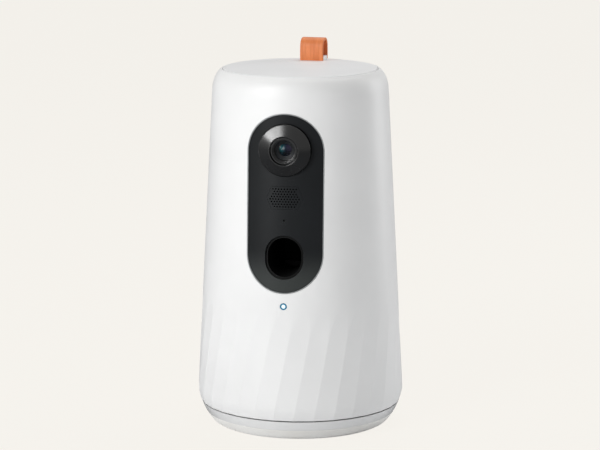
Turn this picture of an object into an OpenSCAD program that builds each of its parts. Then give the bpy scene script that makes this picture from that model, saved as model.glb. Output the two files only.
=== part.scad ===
// Treat tossing pet camera: a body that pans on a round base, with a camera, a treat bin and a throwing paddle.
// Millimetres, +Z up. The origin is the centre of the foot's underside, and the face panel looks along -Y.

/* [Body] */
// Outer radius of the body at its widest ring
belt_r = 69.4; // [68:0.1:84]
// Height of the widest ring above the floor
belt_z = 22.6; // [21:0.1:27]
// Radius lost for each millimetre of height
taper = 0.0518; // [0.044:0.0002:0.054]
// Wall of the body shell
wall = 2.5; // [2:0.1:3]
// Plain height between the panel's top and the lid seam
brow_h = 22.8; // [19:0.1:28]
// Height of the rounded shoulder under the lid
shoulder_h = 13.9; // [12:0.1:16]
// How far the shoulder turns in
shoulder_in = 7.6; // [6.5:0.1:9]
// Height of the body's bottom edge up to the panel's lower end
lower_h = 85; // [74:0.1:102]
// Wall of the shell's rim round the lid
rim_w = 0.6; // [0.5:0.1:1.2]

/* [Flutes] */
// Number of flat flutes round the body
flute_count = 32; // [24:1:36]
// Height above the body's bottom edge where the flutes have faded out
flute_h = 73.6; // [60:0.1:80]
// Stretch over which the flutes fade in, going down
flute_fade = 24; // [14:0.5:30]
// Turn of the flutes for each millimetre of height, in degrees
flute_twist = 0.165; // [0:0.005:0.3]

/* [Base] */
// Height of the soft foot
foot_h = 7.2; // [6:0.1:8.6]
// Height of the white ring above the foot
ring_h = 6.4; // [6.2:0.1:8]
// Open seam between the ring and the turning body
seam_gap = 0.8; // [0.6:0.1:1.2]
// How far the foot's outline tucks in at the floor
foot_in = 12.8; // [10:0.1:14]
// Roundness of the foot's outline, 2 is a quarter of an ellipse
foot_power = 1.37; // [1.2:0.01:2]
// Wall of the base shell
base_wall = 2.2; // [1.8:0.1:2.6]
// Thickness of the base shell's floor
base_floor_t = 2; // [1.6:0.1:2.4]
// Thickness of the bottom cover
cover_t = 2.2; // [1.6:0.1:3]
// Height of the bottom cover above the floor
cover_lift = 1.8; // [1.2:0.1:2.4]
// Outer radius of the bottom cover
cover_r = 43.5; // [40:0.5:46]

/* [Turntable] */
// Radius of the ring of balls
race_r = 49; // [47:0.5:54]
// Radius of a ball
ball_r = 2; // [1.6:0.1:2.2]
// Number of balls
ball_count = 20; // [12:1:28]
// Width of the ball race, measured radially
race_w = 7; // [6:0.2:8]
// Height of the lower race
race_h = 3.6; // [3.2:0.1:4]
// Thickness of the turntable plate
plate_t = 2.5; // [2:0.1:3]
// Outer radius of the hollow post
post_r = 12; // [11:0.1:14]
// Radius of the cable way through the post
cable_r = 8.5; // [7:0.1:10]
// Wall of the bush between post and hub
bush_t = 1.45; // [1.2:0.05:2]
// Gear module of every gear
gear_m = 1; // [0.9:0.05:1]
// Teeth on the fixed sun gear
sun_teeth = 60; // [54:6:60]
// Teeth on the pan pinion
pan_teeth = 12; // [12:1:13]
// Width of the sun gear
sun_w = 5; // [4:0.1:5]
// Radius of the pan motor
pan_motor_r = 12; // [10:0.1:13]
// Height of the pan motor
pan_motor_h = 27; // [22:0.5:30]

/* [Face] */
// Half the width of the panel opening
panel_half_w = 25.4; // [24:0.1:27]
// Thickness of the panel
panel_t = 2.2; // [1.8:0.1:2.4]
// How far the panel lies under the skin
panel_sink = 0.5; // [0.3:0.05:0.8]
// Width of the pale trim round the panel
trim_w = 0.7; // [0.5:0.05:1]
// Panel height under the treat outlet
chin_h = 9.4; // [7:0.1:12]
// Height of the microphone above the outlet
mic_rise = 10; // [9:0.1:12]
// Height of the grille's centre above the microphone
grille_rise = 14.8; // [14:0.1:18]
// Height of the lens above the grille's centre
lens_rise = 31; // [30:0.1:36]
// Panel height above the lens
forehead_h = 23.8; // [22:0.1:28]
// Width of the grille plate
grille_w = 23.6; // [20:0.1:25]
// Height of the grille plate
grille_h = 14.8; // [12:0.1:16]
// Distance between the grille's holes
grille_pitch = 1.9; // [1.8:0.05:2.4]
// Radius of a grille hole
grille_hole_r = 0.5; // [0.4:0.05:0.6]
// Radius of the microphone hole
mic_r = 0.6; // [0.4:0.05:0.8]
// Height of the status light under the panel
status_drop = 8.3; // [7:0.1:11]
// Radius of the status light
status_r = 2.2; // [1.8:0.1:2.6]

/* [Camera] */
// Radius of the lens bezel's skirt
bezel_r = 17.1; // [15:0.1:18]
// Radius of the bezel's mouth
bezel_mouth_r = 9.2; // [8.4:0.1:10]
// How far the bezel's mouth stands out of the skin
bezel_out = 4.2; // [3:0.1:6]
// How far the rim of the bezel's skirt stands out of the skin
bezel_rim_out = 1; // [0.8:0.1:1.6]
// Radius of the front lens
lens_r = 6.5; // [5:0.1:7.2]
// Side of the square camera module
module_w = 20; // [17:0.5:24]

/* [Throwing] */
// Width of the treat outlet in the panel
outlet_w = 25.2; // [22:0.1:27]
// Height of the treat outlet in the panel
outlet_h = 28.8; // [26.4:0.1:32]
// Wall of the throwing chamber
duct_t = 1.4; // [1.2:0.1:1.6]
// Distance from the axis of the body to the paddle's pivot, towards the face
pivot_y = 20; // [19:0.1:21]
// Height of the paddle's pivot under the duct's floor
pivot_drop = 5.2; // [5:0.1:6]
// Length of the paddle from its pivot
paddle_l = 21; // [17:0.1:21.4]
// Thickness of the paddle's blade
paddle_t = 1.6; // [1.2:0.1:2]
// Radius of the paddle's shaft
shaft_r = 2; // [1.6:0.1:2.2]
// Teeth on the paddle's gear
throw_teeth = 24; // [22:2:26]
// Teeth on the throwing pinion
pinion_teeth = 10; // [10:2:12]
// Width of the throwing gears
throw_gear_w = 4; // [3.4:0.1:4]
// Radius of the throw motor
throw_motor_r = 9; // [8:0.1:9.6]
// Length of the throw motor
throw_motor_l = 24; // [18:0.5:26]

/* [Dispensing] */
// Radius of the treat bin's seat round the wheel
seat_r = 28.6; // [27.6:0.1:29.4]
// Distance from the body's axis back to the wheel's axis
seat_y = 14; // [13.8:0.1:14.6]
// Wall of the treat bin
bin_wall = 2; // [1.6:0.1:2.2]
// Inner radius of the bowl
bowl_r = 40.8; // [38:0.1:41]
// Step from the tray's outer wall in to the bowl's, at the back
bowl_step = 0.3; // [0.2:0.1:1.5]
// Height of the dispensing wheel
wheel_h = 10; // [8:0.1:12]
// Radius of a pocket in the wheel
pocket_r = 8; // [7:0.1:8.2]
// Distance from the wheel's axis to a pocket's axis
pocket_ring = 19; // [18.4:0.1:19.4]
// Number of pockets
pocket_count = 5; // [4:1:5]
// Radius of the drop hole
drop_r = 7.3; // [6.4:0.1:7.4]
// Height of the bin's collar round the wheel's cup
collar_h = 4; // [3:0.1:5]
// Wall of the bin's collar
collar_t = 1.4; // [1.2:0.1:2]
// Radius of the hole that the drive passes through
drive_hole_r = 6; // [5.8:0.1:6.4]
// Depth of the tray at the bin's mouth
tray_d = 10.8; // [9:0.1:13]
// Radius of the dispensing motor
dose_motor_r = 8.8; // [8:0.1:9]
// Height of the dispensing motor
dose_motor_h = 27; // [20:0.5:30]
// Distance from the motor's axis to each screw eye of its flange
motor_ear_x = 12; // [11.4:0.1:13]
// Radius of a screw eye
motor_ear_r = 2.8; // [2.4:0.1:3]
// Thickness of the chassis deck
deck_t = 2.5; // [2:0.1:3]

/* [Lid] */
// Thickness of the lid's cap
cap_t = 2.4; // [2:0.1:3]
// Rise of the lid's crown above its edge
crown_h = 1.6; // [0.8:0.1:2.4]
// Open seam round the lid
lid_gap = 0.4; // [0.3:0.05:0.6]
// Depth of the liner's plug in the tray
plug_d = 6; // [4:0.1:8]
// Width of the leather pull tab
tab_w = 16; // [13:0.1:18]
// Thickness of the leather
tab_t = 1.7; // [1.4:0.1:2]
// Depth of the tab's loop
tab_d = 14; // [12:0.1:16]
// Height of the tab's loop above the lid's edge
tab_h = 16; // [14:0.1:18]
// Distance from the lid's axis back to the tab
tab_y = 37; // [34:0.1:38]
// Turn of the lid in its seat, in degrees
tab_turn = -4.5; // [-8:0.5:0]

/* [Back] */
// Width of the power inlet's metal shell
inlet_w = 8.94; // [8.6:0.02:9.2]
// Height of the power inlet's metal shell
inlet_h = 3.2; // [3:0.02:3.2]
// Depth of the power inlet's metal shell
inlet_d = 7.3; // [6:0.1:7.5]
// Radius of the reset button
button_r = 1.7; // [1.5:0.05:1.7]
// Angle from the inlet round to the reset button, in degrees
button_turn = 15; // [13:0.5:17]
// Travel of the reset button
button_travel = 0.8; // [0.6:0.05:0.8]

/* [Screws] */
// Radius of every screw's shank
screw_r = 1.4; // [1.2:0.05:1.5]
// Radius of every screw's head
head_r = 2.6; // [2.2:0.1:2.8]
// Height of a screw's head
head_h = 1.2; // [1:0.1:1.4]
// Distance from the lid's axis to each of its screws
lid_screw_ring = 30; // [26:0.5:32]

/* [Fits] */
// Radial clearance of a running fit
run_gap = 0.05; // [0.03:0.01:0.08]
// Gap between seated pieces of one body
seat_gap = 0.1; // [0.05:0.05:0.2]
// Gap between pieces that move past each other
move_gap = 0.3; // [0.3:0.05:0.5]

/* [Hidden] */
$fn = 96;

// Heights of the base and the turntable, from the floor up
ring_top = foot_h + ring_h;
skirt_z = ring_top + seam_gap;
floor_top = foot_h + base_floor_t;
race_top = floor_top + race_h;
ball_z = race_top + 0.7 * ball_r;
upper_race_z = ball_z + 0.7 * ball_r;
plate_z = upper_race_z + 3;
plate_top = plate_z + plate_t;
hub_z = floor_top + 4;
sun_z = floor_top + 3.4;
gear_z = sun_z + (sun_w - 4.2) / 2;

// Heights of the face, from the panel's lower end up
panel_z0 = skirt_z + lower_h;
outlet_z0 = panel_z0 + chin_h;
outlet_z = outlet_z0 + outlet_h / 2;
mic_z = outlet_z0 + outlet_h + mic_rise;
grille_z = mic_z + grille_rise;
lens_z = grille_z + lens_rise;
panel_z1 = lens_z + forehead_h;
body_h = panel_z1 + brow_h;
shell_top = body_h - 0.5;
status_z = panel_z0 - status_drop;
frame_inset = max(panel_sink + panel_t, wall) + 2 * seat_gap;
frame_t = 1.6;

// Heights of the throwing chamber, the deck, the wheel and the bin
nose_w = outlet_w - 2 * seat_gap;
nose_h = outlet_h - 2 * seat_gap;
duct_w = nose_w - 2 * duct_t;
duct_h = nose_h - 2 * duct_t;
duct_z0 = outlet_z - duct_h / 2;
duct_z1 = outlet_z + duct_h / 2;
pivot_z = duct_z0 - pivot_drop;
well_z = pivot_z - 6;
roof_top = duct_z1 + 1.6;
deck_z = roof_top + seat_gap;
deck_top = deck_z + deck_t;
bin_z = deck_top + move_gap;
bin_floor = bin_z + 2;
wheel_z = bin_floor + move_gap;
wheel_top = wheel_z + wheel_h;
seat_top = wheel_top + 1.2;
ledge_z = body_h - 9.4;
ledge_top = ledge_z + 2.4;
flange_z = ledge_top + move_gap - 0.1;
flange_top = flange_z + 2;
tray_z = flange_z - tray_d;
guard_z = wheel_top + 0.7;

// Radii that follow from the skin
lid_bore_r = skin_r(shell_top) - rim_w;
ledge_r = lid_bore_r - 2.5;
tray_r = ledge_r - 0.4;
bowl_y = tray_r - bin_wall - bowl_r - bowl_step;
lid_r = lid_bore_r - lid_gap;
plate_r = skin_r(plate_z) - wall - move_gap;
deck_r = skin_r(deck_top) - wall - move_gap;
boss_in = 5.2;
cover_screw_ring = cover_r - 8;
cup_r = seat_r + bin_wall;
funnel_h = 22;
seat_pin_r = 1.8;
boss_r = skin_r(plate_top) - wall - boss_in;
sun_pitch_r = gear_m * sun_teeth / 2;
pan_r = gear_m * (sun_teeth + pan_teeth) / 2;
throw_reach = gear_m * (throw_teeth + pinion_teeth) / 2;
pinion_angle = -30;
led_r = 2.3;
led_x = bezel_r + led_r + 1.2;
speaker_r = 13;
pinion_y = -pivot_y + throw_reach * cos(pinion_angle);
pinion_z = pivot_z + throw_reach * sin(pinion_angle);
duct_back = paddle_l - pivot_y + 1.8;
gear_x = duct_w / 2 + duct_t + 2.6;
motor_x = gear_x + throw_gear_w + 3.6;
inlet_z = floor_top + inlet_h / 2;
board_z = floor_top - 1;
button_z = (floor_top + ring_top) / 2;
inlet_face = skin_r(inlet_z) - 0.3;
lens_front = skin_r(lens_z);
speaker_face = seat_behind(grille_z + speaker_r, frame_inset + frame_t, speaker_r) - seat_gap;
mic_face = seat_behind(mic_z, frame_inset + frame_t, 5) - seat_gap;
board_y = skin_r(deck_z) - wall - 11.2;
cap_under = flange_top + 0.2;
lid_edge_z = body_h;
liner_r = tray_r - bin_wall - 1.6;
post_spots = [[40, -22], [-40, -22], [34, 33], [-34, 33]];
flute_rings = [0, 2.6, 5.2, 8.2, 17, 26, 35, 43, flute_h - flute_fade, flute_h - 0.8 * flute_fade,
  flute_h - 0.6 * flute_fade, flute_h - 0.4 * flute_fade, flute_h - 0.2 * flute_fade, flute_h, flute_h + 2];

// Radius lost to the rounded shoulder at height z
function shoulder_loss(z) = z <= body_h - shoulder_h ? 0
  : shoulder_in * (1 - sqrt(1 - pow(min(1, (z - body_h + shoulder_h) / shoulder_h), 2)));
// Radius lost to the tucked foot at height z
function foot_loss(z) = z >= belt_z ? 0
  : foot_in * (1 - pow(1 - pow((belt_z - z) / belt_z, foot_power), 1 / foot_power));
// Outer radius of the whole body at height z
function skin_r(z) = belt_r - taper * (z - belt_z) - shoulder_loss(z) - foot_loss(z);
// Points up the skin between two heights, moved in by an inset
function skin_line(z0, z1, steps, inset = 0) =
  [for (k = [0:steps]) let(z = z0 + (z1 - z0) * k / steps) [skin_r(z) - inset, z]];
// Distance in front of the axis at which a flat piece of that half width meets a layer of the skin
function seat_behind(z, inset, half) = sqrt(pow(skin_r(z) - inset, 2) - half * half);
function reversed(points) = [for (k = [len(points) - 1:-1:0]) points[k]];

// A flat flute is a chord across its share of the circle; depth 1 cuts down to the full chord
function flute_depth(h) = let(t = min(1, max(0, (flute_h - h) / flute_fade))) t * (2 - t);
function flute_radius(r, depth, a) =
  let(chord = r * (1 - depth * (1 - cos(180 / flute_count)))) min(r, chord / cos(a));
flute_steps = 4;
function flute_ring(h) = [for (k = [0:flute_count * flute_steps - 1])
  let(share = 360 / flute_count, local = (k % flute_steps) * share / flute_steps - share / 2,
    turn = k * share / flute_steps + flute_twist * h, z = skirt_z + h,
    r = flute_radius(skin_r(z) - (h > flute_h ? 0.03 : 0), flute_depth(h), local))
    [r * sin(turn), -r * cos(turn), z]];

// Gear outlines: involute flanks from the base circle to the tip
function involute(a) = tan(a) * 180 / PI - a;
function half_tooth(teeth, r) = let(base = gear_m * teeth / 2 * cos(20))
  90 / teeth - 9 / teeth + involute(20) - involute(acos(min(1, base / r)));
function flank_radii(teeth, tip) =
  let(base = gear_m * teeth / 2 * cos(20), low = max(base, gear_m * (teeth / 2 - 1)))
  [low, (low + tip) / 2, tip];
function gear_points(teeth, add = 0.9) =
  let(tip = gear_m * (teeth / 2 + add), root = gear_m * (teeth / 2 - 1.25),
    radii = flank_radii(teeth, tip), wide = half_tooth(teeth, radii[0]))
  [for (k = [0:teeth - 1]) let(a = k * 360 / teeth) each concat(
    [[root * cos(a - wide), root * sin(a - wide)]],
    [for (r = radii) [r * cos(a - half_tooth(teeth, r)), r * sin(a - half_tooth(teeth, r))]],
    [for (r = reversed(radii)) [r * cos(a + half_tooth(teeth, r)), r * sin(a + half_tooth(teeth, r))]],
    [[root * cos(a + wide), root * sin(a + wide)]])];

// ---- shared shapes ----

module ring(r_out, r_in, h) {
  difference() {
    cylinder(r = r_out, h = h);
    translate([0, 0, -1]) cylinder(r = r_in, h = h + 2);
  }
}

// Copies its children at equal angles on a circle about the Z axis
module around(count, r, first = 0) {
  for (k = [0:count - 1]) rotate(first + k * 360 / count) translate([r, 0, 0]) children();
}

// Outline with round ends, centred on X, between two heights; it lies flat where it is wider than high
module slot_outline(half_w, z_lo, z_hi) {
  h = z_hi - z_lo;
  r = min(half_w, h / 2);
  if (h > 2 * half_w) {
    translate([-r, z_lo + r]) square([2 * r, h - 2 * r]);
    translate([0, z_lo + r]) circle(r = r);
    translate([0, z_hi - r]) circle(r = r);
  } else {
    translate([r - half_w, z_lo]) square([2 * half_w - 2 * r, h]);
    translate([r - half_w, z_lo + r]) circle(r = r);
    translate([half_w - r, z_lo + r]) circle(r = r);
  }
}

// Runs an outline drawn in X and Z from one distance in front of the axis to a larger one
module facing(near, far) {
  translate([0, -near, 0]) rotate([90, 0, 0]) linear_extrude(far - near) children();
}

// Round bar along -Y, at a height, between two distances in front of the axis
module front_bar(r, z, near, far, x = 0) {
  translate([x, -near, z]) rotate([90, 0, 0]) cylinder(r = r, h = far - near);
}

// Bar along +X
module cross_bar(r, x, y, z, l) {
  translate([x, y, z]) rotate([0, 90, 0]) cylinder(r = r, h = l);
}

// A layer of the skin between two insets and two heights
module skin_layer(z0, z1, outer, inner) {
  rotate_extrude() polygon(concat(skin_line(z0, z1, 2, outer), reversed(skin_line(z0, z1, 2, inner))));
}

module gear(teeth, h, bore, add = 0.9) {
  linear_extrude(h) difference() {
    polygon(gear_points(teeth, add));
    circle(r = bore);
  }
}

// Screw with its head down, that long in all
module screw(l) {
  cylinder(r = head_r, h = head_h);
  cylinder(r = screw_r, h = l);
}

// Solid of the grille plate's outline: a flat hexagon with long top and bottom edges
module grille_outline(grow = 0) {
  translate([0, grille_z]) polygon([for (s = [[1, 0], [0.72, 1], [-0.72, 1], [-1, 0], [-0.72, -1], [0.72, -1]])
    [s[0] * (grille_w / 2 + grow), s[1] * (grille_h / 2 + grow)]]);
}

// ---- base ----

module foot_ring() {
  color("#b9ada0") rotate_extrude()
    polygon(concat([[cover_r + 3.4, 0]], skin_line(0, foot_h, 6), [[cover_r + 3.4, foot_h]]));
}

module base_shell() {
  color("#f2f1ee") difference() {
    union() {
      rotate_extrude() polygon(concat([[0, foot_h]], skin_line(foot_h, ring_top, 8),
        reversed(skin_line(floor_top, ring_top, 3, base_wall)), [[0, floor_top]]));
      translate([0, 0, floor_top]) ring(sun_pitch_r - 2, sun_pitch_r - 10, sun_z - floor_top);
      translate([0, 0, cover_lift]) ring(cover_r + 3.3, cover_r + 0.3, foot_h - cover_lift);
      around(4, cover_screw_ring, 45) translate([0, 0, cover_lift + cover_t])
        cylinder(r = 3.5, h = foot_h - cover_lift - cover_t);
    }
    translate([0, 0, foot_h - 1]) cylinder(r = cable_r, h = base_floor_t + 2);
    around(4, cover_screw_ring, 45) cylinder(r = screw_r + run_gap, h = floor_top - 0.6);
    base_board_outline(board_z, 2, 0.3);
    translate([0, inlet_face - inlet_d - 1, inlet_z]) inlet_prism(0.35, inlet_d + 6);
    rotate(-button_turn) translate([0, skin_r(inlet_z) - base_wall - 2, button_z]) rotate([-90, 0, 0])
      cylinder(r = button_r + 0.3, h = base_wall + 6);
  }
}

module base_plate() {
  color("#c9c6c0") difference() {
    translate([0, 0, cover_lift]) cylinder(r = cover_r, h = cover_t);
    around(4, cover_screw_ring, 45) cylinder(r = screw_r + 3 * run_gap, h = foot_h);
    around(4, cover_screw_ring, 45) cylinder(r = head_r + move_gap, h = cover_lift + head_h);
    for (k = [-4:4]) translate([k * 4 - 0.9, -12, 0]) cube([1.8, 24, foot_h]);
  }
}

module base_screws() {
  color("#8f9296") around(4, cover_screw_ring, 45) translate([0, 0, cover_lift])
    screw(floor_top - cover_lift - 1.2);
}

module turntable_post() {
  color("#d8d8d4") difference() {
    union() {
      translate([0, 0, floor_top]) cylinder(r = post_r + 4, h = 1.8);
      translate([0, 0, floor_top]) cylinder(r = post_r, h = plate_top + move_gap - floor_top);
      translate([0, 0, floor_top]) cylinder(r = post_r - 1, h = plate_top + move_gap + 3 - floor_top);
    }
    translate([0, 0, floor_top - 1]) cylinder(r = cable_r, h = plate_top);
  }
}

module sun_gear() {
  color("#e3dfd2") translate([0, 0, sun_z]) gear(sun_teeth, sun_w, sun_pitch_r - 10);
}

module groove(r = ball_r) {
  translate([0, 0, ball_z]) rotate_extrude() translate([race_r, 0]) circle(r = r + 0.15);
}

module bearing_race() {
  color("#9a9da1") difference() {
    translate([0, 0, floor_top]) ring(race_r + race_w / 2, race_r - race_w / 2, race_h);
    groove();
  }
}

module bearing_balls() {
  color("#c3c6ca") around(ball_count, race_r) translate([0, 0, ball_z]) sphere(r = ball_r);
}

module bearing_cage() {
  color("#e8e6df") difference() {
    translate([0, 0, ball_z - 0.9]) ring(race_r + 2.8, race_r - 2.8, 1.8);
    around(ball_count, race_r) translate([0, 0, ball_z - 2]) cylinder(r = ball_r + run_gap, h = 4);
  }
}

module retaining_ring() {
  color("#8f9296") translate([0, 0, plate_top + move_gap]) ring(post_r + 5.5, post_r - 1 + run_gap, 1.6);
}

// Arc shaped outline of the board at the back of the base
module base_board_outline(z, h, grow = 0) {
  translate([0, 0, z]) intersection() {
    ring(skin_r(inlet_z) - base_wall - 1.8 + grow, race_r + race_w / 2 + 1 - grow, h);
    translate([-10 - grow, 0, 0]) cube([31 + 2 * grow, 2 * belt_r, h]);
  }
}

module base_board() {
  color("#2e6b4a") base_board_outline(board_z, 1);
  color("#26282b") rotate(-button_turn) translate([-2.6, skin_r(inlet_z) - base_wall - 8.6, board_z + 1])
    cube([5.2, 4, 3.4]);
  color("#26282b") translate([-9, race_r + race_w / 2 + 3.2, board_z + 1]) cube([3.4, 3, 1.4]);
}

module inlet_prism(grow, l) {
  rotate([-90, 0, 0]) linear_extrude(l) {
    square([inlet_w - inlet_h, inlet_h + 2 * grow], center = true);
    for (s = [-1, 1]) translate([s * (inlet_w - inlet_h) / 2, 0]) circle(r = inlet_h / 2 + grow);
  }
}

module power_inlet() {
  color("#a9acb0") translate([0, inlet_face - inlet_d, inlet_z]) difference() {
    inlet_prism(0, inlet_d);
    translate([0, 1, 0]) inlet_prism(-0.3, inlet_d);
  }
  color("#26282b") translate([-3.3, inlet_face - inlet_d + 0.8, inlet_z - 0.35]) cube([6.6, inlet_d - 1.8, 0.7]);
}

module reset_button() {
  face = skin_r(button_z) + 0.2;
  inside = skin_r(floor_top) - base_wall - 1;
  color("#b9bcc0") rotate(-button_turn) translate([0, 0, button_z]) rotate([-90, 0, 0]) {
    translate([0, 0, inside - 0.8]) cylinder(r = 1, h = 2);
    translate([0, 0, inside]) cylinder(r = button_r + 0.4, h = 0.6);
    translate([0, 0, inside]) cylinder(r = button_r, h = face - inside - 0.3);
    translate([0, 0, face - 0.3]) cylinder(r1 = button_r, r2 = button_r - 0.3, h = 0.3);
  }
}

// ---- turning body ----

// Solid of the fluted lower body, as rings of points joined by triangles; its top lies just inside the plain cone
module flute_solid() {
  around_n = flute_count * flute_steps;
  rows = len(flute_rings);
  points = [for (h = flute_rings) each flute_ring(h)];
  sides = [for (i = [0:rows - 2], k = [0:around_n - 1])
    let(a = i * around_n + k, b = i * around_n + (k + 1) % around_n)
    each [[a, a + around_n, b], [b, a + around_n, b + around_n]]];
  lower = [[for (k = [0:around_n - 1]) k]];
  upper = [[for (k = [around_n - 1:-1:0]) (rows - 1) * around_n + k]];
  polyhedron(points = points, faces = concat(lower, upper, sides));
}

// Everything inside the shell's wall, with the ledge that carries the bin and the bore that takes the lid
module shell_void() {
  rotate_extrude() polygon(concat([[0, skirt_z - 1], [skin_r(skirt_z) - wall, skirt_z - 1]],
    skin_line(skirt_z, belt_z, 4, wall), skin_line(body_h - shoulder_h, ledge_z, 3, wall),
    [[ledge_r, ledge_z], [ledge_r, ledge_top], [lid_bore_r, ledge_top], [lid_bore_r, body_h + 1],
    [0, body_h + 1]]));
}

module shell_boss() {
  z = plate_top + 0.2;
  translate([0, 0, z]) cylinder(r = 3.6, h = 15);
  translate([0, -1, z]) cube([boss_in + 0.6, 2, 15]);
}

module body_shell() {
  join_z = skirt_z + flute_h + 2;
  color("#f4f4f2") difference() {
    union() {
      difference() {
        union() {
          flute_solid();
          rotate_extrude() polygon(concat([[0, join_z]], [[skin_r(join_z), join_z]],
            skin_line(body_h - shoulder_h, shell_top, 12), [[0, shell_top]]));
        }
        shell_void();
      }
      around(4, boss_r, 45) shell_boss();
    }
    facing(0, 2 * belt_r) slot_outline(panel_half_w, panel_z0, panel_z1);
    front_bar(status_r + seat_gap, status_z, 0, 2 * belt_r);
    around(4, boss_r, 45) translate([0, 0, plate_top - 1]) cylinder(r = screw_r + run_gap, h = 12);
  }
}

module body_floor() {
  color("#dcdad5") difference() {
    union() {
      translate([0, 0, plate_z]) cylinder(r = plate_r, h = plate_t);
      translate([0, 0, upper_race_z]) ring(race_r + race_w / 2, race_r - race_w / 2, plate_z - upper_race_z);
      translate([0, 0, hub_z]) cylinder(r = post_r + bush_t + 3, h = plate_z - hub_z);
      for (k = [0:5]) rotate(k * 60) translate([post_r + 8, -0.9, plate_top]) cube([9, 1.8, 3]);
      for (s = post_spots) translate([s[0], s[1], plate_top]) cylinder(r = 5.4, h = 3);
    }
    groove();
    translate([0, 0, hub_z - 1]) cylinder(r = post_r + bush_t + run_gap, h = plate_top);
    translate([0, pan_r, plate_z - 1]) cylinder(r = 4, h = plate_t + 2);
    around(4, boss_r, 45) translate([0, 0, plate_z - 1]) cylinder(r = screw_r + 0.2, h = plate_t + 2);
    for (s = post_spots) translate([s[0], s[1], plate_top + 1]) cylinder(r = 3.5 + seat_gap, h = 3);
  }
}

module pivot_bush() {
  color("#b98a4a") translate([0, 0, hub_z]) ring(post_r + bush_t, post_r + run_gap, plate_top - hub_z);
}

module shell_screws() {
  color("#8f9296") around(4, boss_r, 45) translate([0, 0, plate_z - head_h]) screw(11);
}

// ---- face ----

module front_panel() {
  half = panel_half_w - trim_w - seat_gap;
  color("#17181a") difference() {
    intersection() {
      skin_layer(panel_z0 - 2, panel_z1 + 2, panel_sink, panel_sink + panel_t);
      facing(0, 2 * belt_r) slot_outline(half, panel_z0 + trim_w + seat_gap, panel_z1 - trim_w - seat_gap);
    }
    front_bar(bezel_r + 0.15, lens_z, 0, 2 * belt_r);
    facing(0, 2 * belt_r) grille_outline(seat_gap);
    front_bar(mic_r, mic_z, 0, 2 * belt_r);
    facing(0, 2 * belt_r) slot_outline(outlet_w / 2, outlet_z0, outlet_z0 + outlet_h);
  }
}

module panel_trim() {
  half = panel_half_w - seat_gap;
  color("#c6c9cb") intersection() {
    skin_layer(panel_z0 - 2, panel_z1 + 2, 0.1, wall);
    facing(0, 2 * belt_r) difference() {
      slot_outline(half, panel_z0 + seat_gap, panel_z1 - seat_gap);
      slot_outline(half - trim_w + seat_gap, panel_z0 + trim_w, panel_z1 - trim_w);
    }
  }
}

module panel_frame() {
  color("#3a3c3f") difference() {
    intersection() {
      skin_layer(panel_z0 - 4, panel_z1 + 4, frame_inset, frame_inset + frame_t);
      facing(0, 2 * belt_r) slot_outline(panel_half_w + 3, panel_z0 - 3, panel_z1 + 3);
    }
    front_bar(bezel_r + 0.15, lens_z, 0, 2 * belt_r);
    facing(0, 2 * belt_r) grille_outline(-0.8);
    front_bar(2, mic_z, 0, 2 * belt_r);
    facing(0, 2 * belt_r) slot_outline(outlet_w / 2, outlet_z0, outlet_z0 + outlet_h);
    for (s = [-1, 1]) front_bar(led_r + 0.3, lens_z, 0, 2 * belt_r, s * led_x);
  }
}

module speaker_grille() {
  rows = floor((grille_h - 3) / (grille_pitch * 0.866));
  cols = floor((grille_w - 2) / grille_pitch);
  color("#141517") difference() {
    intersection() {
      skin_layer(panel_z0, panel_z1, panel_sink, panel_sink + panel_t);
      facing(0, 2 * belt_r) grille_outline();
    }
    for (i = [0:rows], k = [0:cols]) {
      z = (i - rows / 2) * grille_pitch * 0.866;
      x = (k - cols / 2 + (i % 2) / 2) * grille_pitch;
      if (abs(x) < grille_w / 2 - 1.4 - abs(z) * 0.45)
        front_bar(grille_hole_r, grille_z + z, belt_r / 2, belt_r + 2, x);
    }
  }
}

// Bezel: a skirt through the panel, then a cone up to the mouth, hollow behind
module lens_bezel() {
  tip = lens_front + bezel_out;
  rim = lens_front + bezel_rim_out;
  back = lens_front - 7;
  color("#1c1d20") translate([0, 0, lens_z]) rotate([90, 0, 0]) rotate_extrude() polygon([
    [bezel_mouth_r, tip], [bezel_mouth_r + 0.8, tip], [bezel_r - 0.6, rim + 0.2], [bezel_r, rim - 0.4],
    [bezel_r, back], [bezel_r - 1.8, back], [bezel_r - 1.8, rim - 2], [bezel_mouth_r + 1.6, tip - 3],
    [bezel_mouth_r + 1.6, back], [bezel_mouth_r, back]]);
}

module lens_barrel() {
  front = lens_front + bezel_out - 1.2;
  r = bezel_mouth_r - 0.3;
  color("#101113") translate([0, 0, lens_z]) rotate([90, 0, 0]) rotate_extrude() polygon([
    [r - 0.8, front], [r, front - 0.3], [r, lens_front - 9.5], [lens_r + 0.1, lens_front - 9.5],
    [lens_r + 0.1, front - 2.4], [lens_r + 0.9, front - 1.6], [lens_r + 0.9, front - 0.8], [r - 1.4, front - 0.8],
    [r - 1.4, front]]);
}

module lens_glass() {
  base = lens_front + bezel_out - 4.4;
  dome = 34;
  color("#1a2740") intersection() {
    front_bar(lens_r, lens_z, base - 1.6, base + 3);
    translate([0, -(base + 1.6 - dome / 2), lens_z]) sphere(r = dome / 2);
  }
}

module camera_module() {
  back = lens_front - 9.6;
  color("#202225") difference() {
    translate([-module_w / 2, -back, lens_z - module_w / 2]) cube([module_w, 5.2, module_w]);
    front_bar(4, lens_z, back - 3, back + 1);
  }
}

module camera_board() {
  back = lens_front - 9.6 - 5.2 - seat_gap;
  color("#2e6b4a") translate([-23, -back, lens_z - 15]) cube([46, 1.2, 30]);
}

module ir_leds() {
  back = lens_front - 9.6 - 5.2 - seat_gap + 0.1;
  face = seat_behind(lens_z, frame_inset, led_x + led_r) - seat_gap;
  for (s = [-1, 1]) {
    color("#3a2f4a") front_bar(led_r, lens_z, face - 2, face, s * led_x);
    color("#d9d9d4") front_bar(led_r - 0.6, lens_z, back, face - 2, s * led_x);
  }
}

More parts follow.
